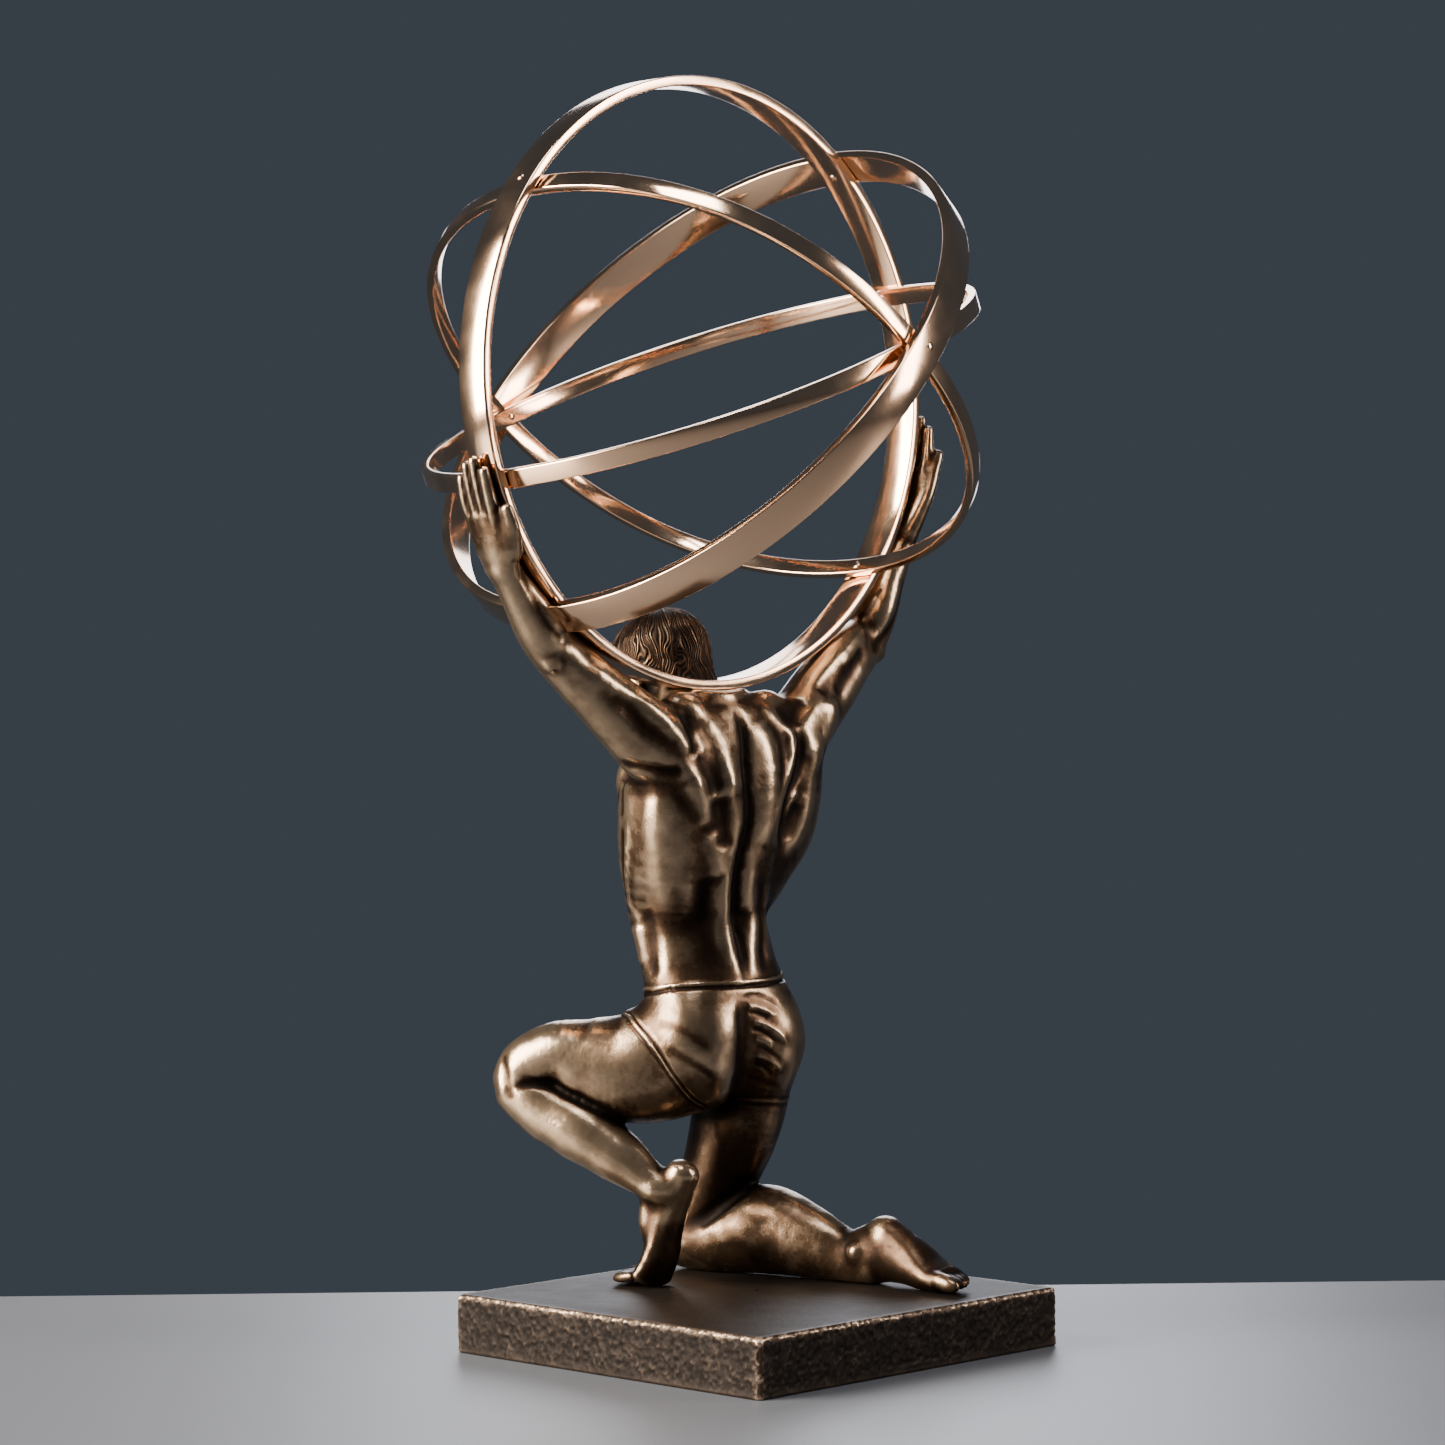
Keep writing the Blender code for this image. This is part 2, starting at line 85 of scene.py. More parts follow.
def makePiece(name, points, faces, nodeName, material, values=None):
    mesh = bpy.data.meshes.new(name)
    mesh.from_pydata(points.tolist(), [], faces.tolist())
    for key, numbers in (values or {}).items():
        mesh.attributes.new(key, "FLOAT", "POINT").data.foreach_set("value", numbers.astype(np.float32))
    mesh.validate()
    mesh.polygons.foreach_set("use_smooth", np.ones(len(mesh.polygons), dtype=bool))
    mesh.materials.append(material)
    piece = bpy.data.objects.new(name, mesh)
    bpy.context.scene.collection.objects.link(piece)
    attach(piece, "root")
    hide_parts(nodeName)
    return piece


# Quads between neighbouring rows and columns of a grid; either way round may close on itself
def gridFaces(rows, columns, closeRows=False, closeColumns=True):
    i = np.arange(rows if closeRows else rows - 1)[:, None]
    j = np.arange(columns if closeColumns else columns - 1)[None, :]
    below, after = (i + 1) % rows, (j + 1) % columns
    i, below = i * columns, below * columns
    return np.stack([i + j, i + after, below + after, below + j], axis=-1).reshape(-1, 4)


# Materials
def hexColour(code):
    parts = [int(code[k:k + 2], 16) / 255 for k in (1, 3, 5)]
    linear = [p / 12.92 if p <= 0.04045 else ((p + 0.055) / 1.055) ** 2.4 for p in parts]
    return (*linear, 1.0)


def addNode(tree, kind, inputs=None, **settings):
    node = tree.nodes.new("ShaderNode" + kind)
    for key, value in settings.items():
        setattr(node, key, value)
    for key, value in (inputs or {}).items():
        if isinstance(value, bpy.types.NodeSocket):
            tree.links.new(value, node.inputs[key])
        else:
            node.inputs[key].default_value = value
    return node


def newMaterial(name):
    material = bpy.data.materials.new(name)
    material.use_nodes = True
    tree = material.node_tree
    return material, tree, tree.nodes["Principled BSDF"]


def ramp(tree, factor, stops):
    node = addNode(tree, "ValToRGB", {"Fac": factor})
    bar = node.color_ramp
    while len(bar.elements) < len(stops):
        bar.elements.new(0.5)
    for element, (place, colour) in zip(bar.elements, stops):
        element.position = place
        element.color = hexColour(colour) if isinstance(colour, str) else (colour, colour, colour, 1.0)
    return node


# Cold-cast bronze: bronze powder in resin, stained near-black, then rubbed back so that high places shine. On
# the figure, the darkening this material reads holds painted shade as well as stain: occlusion shade under
# the arms and between parts, and a darkened lower right leg and left foot
castBronze = {
    "deep": "#120c08", "stain": "#2a1d14", "bare": "#544131", "rubbed": "#b39a7e",
    "grain": 0.35, "speck": 1.1, "blotch": 8.0,       # mm
}


def makeCastBronze():
    material, tree, shader = newMaterial("cold-cast bronze, stained, rubbed, painted shade")
    place = addNode(tree, "TexCoord").outputs["Object"]
    stain_and_shade = addNode(tree, "Attribute", attribute_name="stain_and_shade").outputs["Fac"]
    crest = addNode(tree, "Attribute", attribute_name="crest").outputs["Fac"]
    blotch, grain, speck = (
        addNode(tree, "TexNoise", {"Vector": place, "Scale": 1 / (castBronze[size] * mm), "Detail": detail,
                                   "Roughness": rough}).outputs["Fac"]
        for size, detail, rough in (("blotch", 4.0, 0.6), ("grain", 2.0, 0.6), ("speck", 3.0, 0.7)))
    # wear = 0.27 + crest minus the darkening attribute (real stain in the hollows plus painted shade),
    # shifted a little by the blotches and the specks; so low wear is partly painted shade
    raised = addNode(tree, "Math", {0: crest, 1: 0.27}, operation="ADD").outputs[0]
    lifted = addNode(tree, "Math", {0: raised, 1: stain_and_shade}, operation="SUBTRACT").outputs[0]
    shifted = addNode(tree, "Math", {0: blotch, 1: 0.32, 2: lifted}, operation="MULTIPLY_ADD").outputs[0]
    wear = addNode(tree, "Math", {0: speck, 1: 0.22, 2: shifted}, operation="MULTIPLY_ADD").outputs[0]
    colour = ramp(tree, wear, [(0.10, castBronze["deep"]), (0.34, castBronze["stain"]),
                               (0.57, castBronze["bare"]), (0.95, castBronze["rubbed"])])
    tree.links.new(colour.outputs["Color"], shader.inputs["Base Color"])
    rough = ramp(tree, wear, [(0.14, 0.52), (0.46, 0.30), (0.85, 0.22)])
    tree.links.new(rough.outputs["Color"], shader.inputs["Roughness"])
    shader.inputs["Metallic"].default_value = 0.93
    bump = addNode(tree, "Bump", {"Height": grain, "Strength": 0.35, "Distance": 0.05 * mm})
    coarse = addNode(tree, "Bump", {"Height": speck, "Strength": 0.35, "Distance": 0.16 * mm,
                                    "Normal": bump.outputs["Normal"]})
    tree.links.new(coarse.outputs["Normal"], shader.inputs["Normal"])
    return material


# Rose gold plating on drawn strip: bright and nearly smooth, with a faint orange peel from the plating bath
roseGold = {"metal": "#fbd0aa", "peel": 1.6, "haze": 12.0}


def makeRoseGold():
    material, tree, shader = newMaterial("rose gold plating on metal strip")
    place = addNode(tree, "TexCoord").outputs["Object"]
    peel = addNode(tree, "TexNoise", {"Vector": place, "Scale": 1 / (roseGold["peel"] * mm),
                                      "Detail": 1.0}).outputs["Fac"]
    haze = addNode(tree, "TexNoise", {"Vector": place, "Scale": 1 / (roseGold["haze"] * mm),
                                      "Detail": 3.0}).outputs["Fac"]
    shader.inputs["Base Color"].default_value = hexColour(roseGold["metal"])
    shader.inputs["Metallic"].default_value = 1.0
    rough = ramp(tree, haze, [(0.3, 0.09), (0.7, 0.17)])
    tree.links.new(rough.outputs["Color"], shader.inputs["Roughness"])
    bump = addNode(tree, "Bump", {"Height": peel, "Strength": 0.12, "Distance": 0.04 * mm})
    tree.links.new(bump.outputs["Normal"], shader.inputs["Normal"])
    return material


# The plinth's bronze: cast with pebbled sides, stained darker than the figure, with its edges rubbed bare
pebbledBronze = {
    "deep": "#100d0b", "stain": "#241d18", "bare": "#54463a", "rubbed": "#b39a84",
    "fleck": 0.36, "blotch": 9.0,       # mm
}


def makePebbledBronze():
    material, tree, shader = newMaterial("pebbled cold-cast bronze, dark stain")
    place = addNode(tree, "TexCoord").outputs["Object"]
    high = addNode(tree, "Attribute", attribute_name="high").outputs["Fac"]
    edge = addNode(tree, "Attribute", attribute_name="edge").outputs["Fac"]
    fleck = addNode(tree, "TexNoise", {"Vector": place, "Scale": 1 / (pebbledBronze["fleck"] * mm),
                                       "Detail": 3.0, "Roughness": 0.7}).outputs["Fac"]
    blotch = addNode(tree, "TexNoise", {"Vector": place, "Scale": 1 / (pebbledBronze["blotch"] * mm),
                                        "Detail": 3.0}).outputs["Fac"]
    sparkle = addNode(tree, "Math", {0: fleck, 1: 0.35, 2: high}, operation="MULTIPLY_ADD").outputs[0]
    shifted = addNode(tree, "Math", {0: blotch, 1: 0.2, 2: sparkle}, operation="MULTIPLY_ADD").outputs[0]
    wear = addNode(tree, "Math", {0: edge, 1: 0.5, 2: shifted}, operation="MULTIPLY_ADD").outputs[0]
    colour = ramp(tree, wear, [(0.30, pebbledBronze["deep"]), (0.62, pebbledBronze["stain"]),
                               (0.92, pebbledBronze["bare"]), (1.0, pebbledBronze["rubbed"])])
    tree.links.new(colour.outputs["Color"], shader.inputs["Base Color"])
    rough = ramp(tree, wear, [(0.3, 0.7), (0.95, 0.36)])
    tree.links.new(rough.outputs["Color"], shader.inputs["Roughness"])
    shader.inputs["Metallic"].default_value = 0.85
    bump = addNode(tree, "Bump", {"Height": fleck, "Strength": 0.5, "Distance": 0.12 * mm})
    tree.links.new(bump.outputs["Normal"], shader.inputs["Normal"])
    return material


bronze = makeCastBronze()
plating = makeRoseGold()
pebbled = makePebbledBronze()
print("materials made")


# Plinth
plinth = {
    "edge": 1.3, "corner": 1.4,     # mm, radii of the top edge and of the upright corners
    "pebble": 0.95, "relief": 0.34, "topRelief": 0.07, "around": 960,
}
plinthLow, plinthHigh = (np.array(v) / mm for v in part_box("plinth"))


# A rounded square: its side and corner as arcs, at even steps of length round it
def roundedSquare(half, corner, count):
    straight = 2 * (half - corner)
    arc = corner * math.pi / 2
    s = np.linspace(0, 4 * (straight + arc), count, endpoint=False)
    side = np.floor(s / (straight + arc))
    s = s - side * (straight + arc)
    turn = np.clip(s - straight, 0, None) / max(corner, 1e-6)
    x = half - corner + corner * np.cos(turn)
    y = np.where(s < straight, s - straight / 2, half - corner + corner * np.sin(turn))
    angle = side * math.pi / 2
    return np.stack([x * np.cos(angle) - y * np.sin(angle), x * np.sin(angle) + y * np.cos(angle)], axis=1)


def buildPlinth():
    half, height, edge = plinthHigh[0], plinthHigh[2], plinth["edge"]
    # the profile as (inset from the side, height): under, up the side, over the edge, in to the middle
    under = [(t, 0.0) for t in np.linspace(half - 0.5, 0.4, 8)]
    side = [(0.0, z) for z in np.linspace(0.4, height - edge, 32)]
    over = [(edge - edge * math.cos(a), height - edge + edge * math.sin(a))
            for a in np.linspace(0.2, 1.57, 7)]
    top = [(t, height) for t in edge + 0.6 + (half - edge - 1.1) * np.linspace(0, 1, 34) ** 1.15]
    profile = np.array(under + side + over + top)
    count = plinth["around"]
    outline = roundedSquare(half, plinth["corner"], count)
    share = 1 - profile[:, 0] / half
    flat = outline[None] * share[:, None, None]
    points = np.concatenate([flat, np.broadcast_to(profile[:, None, 1:], (len(profile), count, 1))], axis=2)
    ahead = np.gradient(points, axis=0)
    sideways = np.roll(points, -1, axis=1) - np.roll(points, 1, axis=1)
    normals = unitRows(np.cross(sideways, ahead))
    flatPoints = points.reshape(-1, 3)
    big = softNoise(flatPoints / plinth["pebble"], 1)
    small = softNoise(flatPoints / (plinth["pebble"] * 0.52), 2)
    bumps = np.clip(0.62 * big + 0.5 * small, -0.7, 0.6)
    slow = softNoise(flatPoints / 9.0, 3)
    height01 = flatPoints[:, 2] / height
    inset = np.repeat(profile[:, 0], count)
    onSide = np.clip(1 - inset / 1.6, 0, 1) * np.clip(height01 * 6, 0, 1)
    onSide *= np.where(flatPoints[:, 2] > height - 0.05, 0.2, 1.0)
    relief = bumps * (plinth["topRelief"] + (plinth["relief"] - plinth["topRelief"]) * onSide)
    relief = relief - plinth["relief"] * 0.5 * onSide + 0.08 * slow * (onSide + 0.4)
    relief = np.where(height01 < 0.001, 0, relief)
    moved = flatPoints + normals.reshape(-1, 3) * relief[:, None]
    moved[:, 2] = np.clip(moved[:, 2], 0, None)
    cornerNear = np.abs(np.abs(flatPoints[:, 0]) - np.abs(flatPoints[:, 1]))
    ridge = np.exp(-((height - flatPoints[:, 2]) / 1.3) ** 2) * np.exp(-(inset / 1.5) ** 2)
    upright = np.exp(-(cornerNear / 1.6) ** 2) * np.exp(-(inset / 1.2) ** 2)
    foot = 0.5 * np.exp(-(flatPoints[:, 2] / 0.9) ** 2) * np.exp(-(inset / 1.0) ** 2)
    values = {
        "edge": np.clip(ridge + 0.8 * upright + foot, 0, 1),
        "high": np.clip(0.24 + 0.26 * bumps * onSide + 0.06 * bumps, 0, 1),
    }
    makePiece("plinth_cast", moved * mm, gridFaces(len(profile), count), "plinth", pebbled, values)


buildPlinth()
print("plinth made")


# Bands, in mm; the tilted, rising and girdle bands are turned about one pole
bands = {
    "centre": (-8.0, -24.5, 248.2), "upright": 79.7, "gap": 0.3, "edge": 0.35,
    "wide": 9.4, "wideThick": 2.6, "narrow": 4.8, "narrowThick": 2.2,
    "tiltedPole": 77.5, "bulge": 1.3, "poleRise": 3.8, "poleSwing": 2.9, "around": 288,
    "tilted": 41.8, "rising": -51.5, "girdle": 69.6,        # degrees, as poleRise and poleSwing are
    "bead": 1.1, "beadHigh": 0.35, "beadRows": 9, "beadColumns": 20,
}


# A flat strip carried round an oval: the oval is hypot(side cos a, pole sin a) plus bulge sin(2a) squared,
# and the strip's section is a rectangle with rounded corners
def stripSurface(pole, side, bulge, width, thickness):
    count = bands["around"]
    a = np.linspace(0, 2 * math.pi, count, endpoint=False)
    radius = np.hypot(side * np.cos(a), pole * np.sin(a)) + bulge * np.sin(2 * a) ** 2
    edge, steps = bands["edge"], np.linspace(0, math.pi / 2, 4)
    corners = [(thickness - edge, width / 2 - edge, 0), (edge, width / 2 - edge, 1),
               (edge, edge - width / 2, 2), (thickness - edge, edge - width / 2, 3)]
    section = np.array([(x + edge * math.cos(t + k * math.pi / 2), y + edge * math.sin(t + k * math.pi / 2))
                        for x, y, k in corners for t in steps])
    reach = radius[:, None] - section[None, :, 0]
    points = np.stack([reach * np.cos(a)[:, None], reach * np.sin(a)[:, None],
                       np.broadcast_to(section[None, :, 1], reach.shape)], axis=-1)
    return points.reshape(-1, 3), gridFaces(count, len(section), closeRows=True)


def buildBand(name, node, turn, pole, side, bulge, width, thickness):
    points, faces = stripSurface(pole, side, bulge, width, thickness)
    matrix = np.array(turn.to_3x3())
    points = points @ matrix.T + np.array(bands["centre"])
    makePiece(name, points * mm, faces, node, plating)


# A bead of solder is a flat ellipsoid, half sunk in the band
def buildBeads(name, node, spots):
    rows, columns = bands["beadRows"], bands["beadColumns"]
    rise = np.linspace(-1.55, 1.55, rows)[:, None, None]
    turn = np.linspace(0, 2 * math.pi, columns, endpoint=False)[None, :, None]
    points, faces = [], []
    for direction, reach in spots:
        out = unitRows(np.array(direction, float))
        side = unitRows(np.cross(out, (0.3, 1.0, 0.2)))
        across = np.cross(out, side)
        ring = bands["bead"] * np.cos(rise) * (np.cos(turn) * side + np.sin(turn) * across)
        bead = ring + out * (reach + bands["beadHigh"] * np.sin(rise)) + np.array(bands["centre"])
        faces.append(gridFaces(rows, columns) + rows * columns * len(points))
        points.append(bead.reshape(-1, 3))
    makePiece(name, np.concatenate(points) * mm, np.concatenate(faces), node, plating)


def aboutPole(turn):
    swing = Matrix.Rotation(math.radians(bands["poleSwing"]), 4, "Z")
    rise = Matrix.Rotation(math.radians(bands["poleRise"]), 4, "X")
    return swing @ rise @ Matrix.Rotation(math.radians(90 - turn), 4, "Y")


def buildBands():
    wide, narrow = (bands["wide"], bands["wideThick"]), (bands["narrow"], bands["narrowThick"])
    upright, gap = bands["upright"], bands["gap"]
    tiltedSide = upright + gap + wide[1]
    innerSide = upright - wide[1] - gap
    risingPole = bands["tiltedPole"] - wide[1] - gap
    girdlePole = risingPole - narrow[1] - gap
    tilted, rising, girdle = (aboutPole(bands[name]) for name in ("tilted", "rising", "girdle"))
    buildBand("upright_band", "upright_ring", Matrix.Rotation(math.radians(-90), 4, "X"),
              upright, upright, 0, *wide)
    buildBand("tilted_band", "tilted_ring", tilted, bands["tiltedPole"], tiltedSide, 0, *wide)
    buildBand("rising_band", "rising_ring", rising, risingPole, innerSide, bands["bulge"], *narrow)
    buildBand("girdle_band", "girdle_ring", girdle, girdlePole, innerSide, bands["bulge"], *narrow)
    # the crossings: tilted over upright, upright over rising and girdle, and all three at the poles
    pole = aboutPole(0).to_3x3() @ Vector((0, 1, 0))
    overTilted, overRising, overGirdle = (
        Vector((0, 1, 0)).cross(turn.to_3x3() @ Vector((0, 0, 1))).normalized()
        for turn in (tilted, rising, girdle))
    spots = {
        "tilted": ((overTilted, tiltedSide), (pole, bands["tiltedPole"])),
        "upright": ((overRising, upright), (overGirdle, upright), (overTilted, upright - wide[1])),
        "rising": ((overRising, innerSide - narrow[1]),),
        "girdle": ((overGirdle, innerSide - narrow[1]), (pole, girdlePole - narrow[1])),
    }
    for name, places in spots.items():
        both = [(way * s, reach) for way, reach in places for s in (1, -1)]
        buildBeads(name + "_beads", name + "_ring", both)


buildBands()
print("bands made")


# Figure
# Sizes are in mm; x and y from the plinth's middle, z from its top. A limb is an ellipse carried along a
# path; each station is (x, y, z, half width, half depth). A muscle is an ellipsoid from start to end.
figure = {
    "ground": 0.3, "grid": 0.92, "headCentre": (-8.0, -42.0, 157.0), "headTilt": 36.0,
    "lineWidth": 1.12, "lineDepth": 0.72,       # how much of each muscle line's width and depth is cut
    "uneven": ((0.10, 4.6, 5), (0.03, 1.9, 6)),     # the casting's unevenness: height, size and seed
    # the space kept for the upright band: its middle (x, z), the gap round it and its reach in y
    "cutMiddle": (-8.0, 233.2), "cutGap": 0.1, "cutFront": -29.5, "cutBack": -6.0,
}
base = plinthHigh[2]


# A point beside the upright band: angle round its centre in degrees, distance outside it, and y
def besideBand(degrees, out, y):
    reach, angle = bands["upright"] + out, math.radians(degrees)
    cx, cy, cz = bands["centre"]
    return (cx + reach * math.cos(angle), y, cz - base + reach * math.sin(angle))


def between(a, b, t):
    return tuple(p + (q - p) * t for p, q in zip(a, b))


def limb(stations, across, blend, samples=36, cap=0.8):
    rows = alongPath(stations, samples)
    centres, radii = rows[:, :3], rows[:, 3:5]
    ahead = unitRows(np.gradient(centres, axis=0))
    across = np.array(across, dtype=float)
    wide = unitRows(across - ahead * (ahead @ across)[:, None])
    ends = radii.min(axis=1, keepdims=True) * cap
    return {"centres": centres, "frames": np.stack([wide, np.cross(ahead, wide), ahead], axis=1),
            "radii": np.concatenate([radii, ends], axis=1), "blend": blend}


def muscle(start, end, halfWidth, halfDepth, across, blend, overshoot=1.0):
    a, b = np.array(start, dtype=float), np.array(end, dtype=float)
    ahead = (b - a) / np.linalg.norm(b - a)
    across = np.array(across, dtype=float)
    wide = unitRows(across - ahead * (ahead @ across))
    reach = np.linalg.norm(b - a) / 2 * overshoot
    return {"centres": (a + b)[None] / 2, "frames": np.stack([wide, np.cross(ahead, wide), ahead])[None],
            "radii": np.array([[halfWidth, halfDepth, reach]]), "blend": blend}


# How far a point is outside an ellipsoid or a limb: k0 (k0 - 1) / k1, where k0 is the distance from its
# middle measured in radii and k1 the slope of that measure. A limb is measured at the place of its path
# that is nearest
def primitiveField(points, shape):
    centres, radii, frames = shape["centres"], shape["radii"], shape["frames"]
    last = len(centres) - 1
    if last:
        near = (centres ** 2).sum(1)[None] - 2 * points @ centres.T
        index = near.argmin(axis=1)
        ahead = ((points - centres[index]) * frames[index, 2]).sum(1) > 0
        first = np.clip(np.where(ahead, index, index - 1), 0, last - 1)
        span = centres[first + 1] - centres[first]
        share = np.clip(((points - centres[first]) * span).sum(1) / (span ** 2).sum(1), 0, 1)[:, None]
        centre = centres[first] + span * share
        size = radii[first] + (radii[first + 1] - radii[first]) * share
        turn = frames[first] + (frames[first + 1] - frames[first]) * share[:, :, None]
    else:
        centre, size, turn = centres, radii, frames
    local = np.matmul(np.broadcast_to(turn, (len(points), 3, 3)), (points - centre)[:, :, None])[:, :, 0]
    size = np.maximum(size, 0.3)
    k0 = np.linalg.norm(local / size, axis=1)
    k1 = np.linalg.norm(local / size ** 2, axis=1)
    return k0 * (k0 - 1) / np.maximum(k1, 1e-6)


def smoothUnion(a, b, blend):
    return np.minimum(a, b) - np.maximum(blend - np.abs(a - b), 0) ** 2 / (4 * blend)


far = 30.0


def groupField(points, shapes):
    total = np.full(len(points), far)
    for shape in shapes:
        reach = shape["radii"].max() + 9.0
        low, high = shape["centres"].min(0) - reach, shape["centres"].max(0) + reach
        inside = np.nonzero(((points > low) & (points < high)).all(axis=1))[0]
        if len(inside):
            value = primitiveField(points[inside], shape)
            total[inside] = smoothUnion(total[inside], value, shape["blend"])
    return total


def bodyField(points):
    total = np.full(len(points), far)
    for blend, shapes in bodyGroups:
        total = smoothUnion(total, groupField(points, shapes), blend)
    # the nape and the hands give way to the upright band, and nothing stands up behind it
    x, z = figure["cutMiddle"]
    out = np.hypot(points[:, 0] - x, points[:, 2] - z) - bands["upright"] - figure["cutGap"]
    band = np.maximum.reduce([out, figure["cutFront"] - points[:, 1], points[:, 1] - figure["cutBack"]])
    return -smoothUnion(-total, band, 0.3)


# The man's parts
leftShoulder, rightShoulder = (14.5, -20.0, 139.5), (-33.5, -19.5, 140.5)
leftElbow, rightElbow = (43.5, -26.5, 164.0), (-69.0, -24.5, 166.0)
hands = {
    "left": {
        "wrist": besideBand(-35.0, 4.6, -25.5), "palm": besideBand(-30.5, 3.9, -25.6),
        "knuckles": besideBand(-25.5, 3.2, -25.8), "tips": besideBand(-15.6, 2.5, -26.2),
        "thumb": [besideBand(-32.5, 3.0, -20.8), besideBand(-28.5, 2.4, -18.4),
                  besideBand(-24.6, 2.0, -17.8)],
        "side": 1,
    },
    "right": {
        "wrist": besideBand(206.5, 5.2, -23.8), "palm": besideBand(200.5, 4.4, -23.8),
        "knuckles": besideBand(194.5, 3.7, -23.8), "tips": besideBand(184.5, 3.9, -24.2),
        "thumb": [besideBand(206.0, 4.2, -20.5), besideBand(199.0, 4.2, -17.5),
                  besideBand(190.9, 6.4, -17.8)],
        "side": -1,
    },
}


def torsoShapes():
    trunk = [
        (-9.5, -25.5, 54.0, 14.0, 11.5), (-10.0, -24.6, 63.0, 19.4, 14.8),
        (-10.4, -24.4, 73.0, 21.0, 15.4), (-9.8, -26.6, 84.0, 19.8, 14.4),
        (-9.2, -29.2, 95.0, 20.3, 15.2), (-9.4, -28.0, 106.0, 24.8, 16.9),
        (-10.2, -26.4, 118.0, 27.9, 17.5), (-11.0, -24.8, 130.0, 28.3, 16.6),
        (-9.8, -25.0, 140.0, 23.6, 15.0), (-8.6, -26.0, 149.0, 12.5, 12.0),
    ]
    shapes = [limb(trunk, (1, 0, 0), 4.0)]
    for side in (1, -1):
        def at(x, y, z):
            return (-9.6 + side * x, y, z)
        shapes += [
            muscle(at(7, -18.0, 76), at(6.2, -19.2, 112), 5.0, 5.6, (1, 0, 0), 3.0, 1.15),      # low back
            muscle(at(6.2, -17.5, 108), at(7, -14.2, 138), 5.0, 5.4, (1, 0, 0), 3.0, 1.15),     # high back
            muscle(at(15, -23, 98), at(22.5, -17, 131), 7.5, 7.0, (1, 0, 0), 4.0, 1.15),        # lat
            muscle(at(12, -13.4, 123), at(22, -14.0, 140), 6.4, 4.2, (1, 0, -1), 2.5, 1.25),    # blade
            muscle(at(2, -19, 136), at(18, -19.5, 150), 7.5, 6.5, (0, 0, 1), 4.0, 1.25),        # neck slope
            muscle(at(5, -37, 126), at(20, -34, 132), 8.5, 6.0, (0, 0, 1), 2.5, 1.3),           # breast
            muscle(at(4.6, -40.2, 82), at(4.6, -41.0, 92), 4.4, 3.2, (1, 0, 0), 2.5, 1.0),      # belly
            muscle(at(4.6, -41.2, 93), at(4.6, -41.4, 102), 4.4, 3.2, (1, 0, 0), 2.5, 1.0),
            muscle(at(4.6, -41.2, 103), at(4.8, -40.6, 113), 4.4, 3.2, (1, 0, 0), 2.5, 1.0),
        ]
    shapes += [
        muscle((-37.0, -20.0, 149.0), (-64.0, -23.5, 169.0), 5.6, 5.0, (0, 1, 0), 3.0, 1.15),   # upper arm
        muscle((-32.6, -18.6, 113.0), (-38.2, -17.6, 139.0), 6.3, 6.8, (0, 1, 0), 4.0, 1.2),    # armpit
        muscle((-29.4, -19.4, 106.0), (-36.5, -18.2, 127.0), 5.0, 6.2, (0, 1, 0), 4.0, 1.0),    # lat's edge
        muscle((3.0, -20.0, 50.0), (1.0, -19.0, 74.0), 12.0, 11.5, (1, 0, 0), 7.0, 1.15),       # buttock
        muscle((-18.7, -17.5, 48.5), (-18.7, -17.8, 76.0), 13.3, 12.6, (1, 0, 0), 6.0, 1.1),    # the other
    ]
    return shapes


def leftLegShapes():
    thigh = [
        (0.0, -22.0, 60.0, 13.5, 15.2), (6.0, -29.0, 57.2, 13.0, 15.5), (11.5, -36.0, 55.8, 12.0, 14.3),
        (17.0, -43.5, 57.4, 10.6, 11.6), (22.0, -50.0, 59.0, 9.0, 8.8), (26.0, -56.0, 56.0, 7.8, 8.2),
        (27.5, -58.5, 51.5, 7.0, 7.6),
    ]
    shin = [
        (27.5, -58.0, 51.0, 7.2, 7.8), (24.5, -51.5, 45.0, 7.8, 8.2), (20.5, -42.0, 39.5, 8.0, 8.0),
        (17.0, -33.0, 33.5, 6.8, 7.0), (14.0, -25.5, 28.0, 5.0, 5.2), (12.0, -21.0, 25.0, 4.7, 4.8),
    ]
    return [
        limb(thigh, (1, 1, 0), 4.0), limb(shin, (1, 1, 0), 1.3),
        muscle((27.0, -60.5, 46.0), (28.0, -59.5, 56.0), 4.4, 3.6, (1, 1, 0), 2.0, 1.2),        # kneecap
        muscle((25.0, -48.0, 43.0), (19.0, -36.0, 36.5), 5.0, 6.6, (1, 1, 0), 3.0, 1.2),        # calf
    ]


def rightLegShapes():
    thigh = [
        (-19.8, -23.0, 62.0, 13.0, 14.5), (-20.0, -24.4, 50.0, 12.4, 13.6), (-19.6, -27.0, 38.0, 11.2, 12.4),
        (-18.6, -31.8, 26.0, 9.8, 10.6), (-17.8, -37.5, 15.0, 8.8, 9.4), (-17.5, -41.0, 8.0, 7.8, 8.4),
    ]
    shin = [
        (-17.0, -42.0, 8.0, 8.2, 8.0), (-18.5, -32.0, 9.0, 9.0, 9.4), (-21.5, -18.0, 12.0, 9.6, 11.8),
        (-24.0, -4.0, 9.5, 8.0, 9.6), (-26.5, 7.5, 6.5, 5.8, 6.9), (-27.5, 15.0, 6.5, 5.2, 6.6),
    ]
    return [
        limb(thigh, (1, 0, 0), 4.0), limb(shin, (1, 0, 0), 1.3),
        muscle((-20.0, -22.0, 16.0), (-23.0, -5.0, 13.5), 5.0, 6.4, (1, 0, 0), 3.0, 1.2),       # calf
    ]


def toes(starts, tips, radii):
    return [muscle(start, tip, radius, radius, (0, 0, 1), 0.8, 1.15)
            for start, tip, radius in zip(starts, tips, radii)]


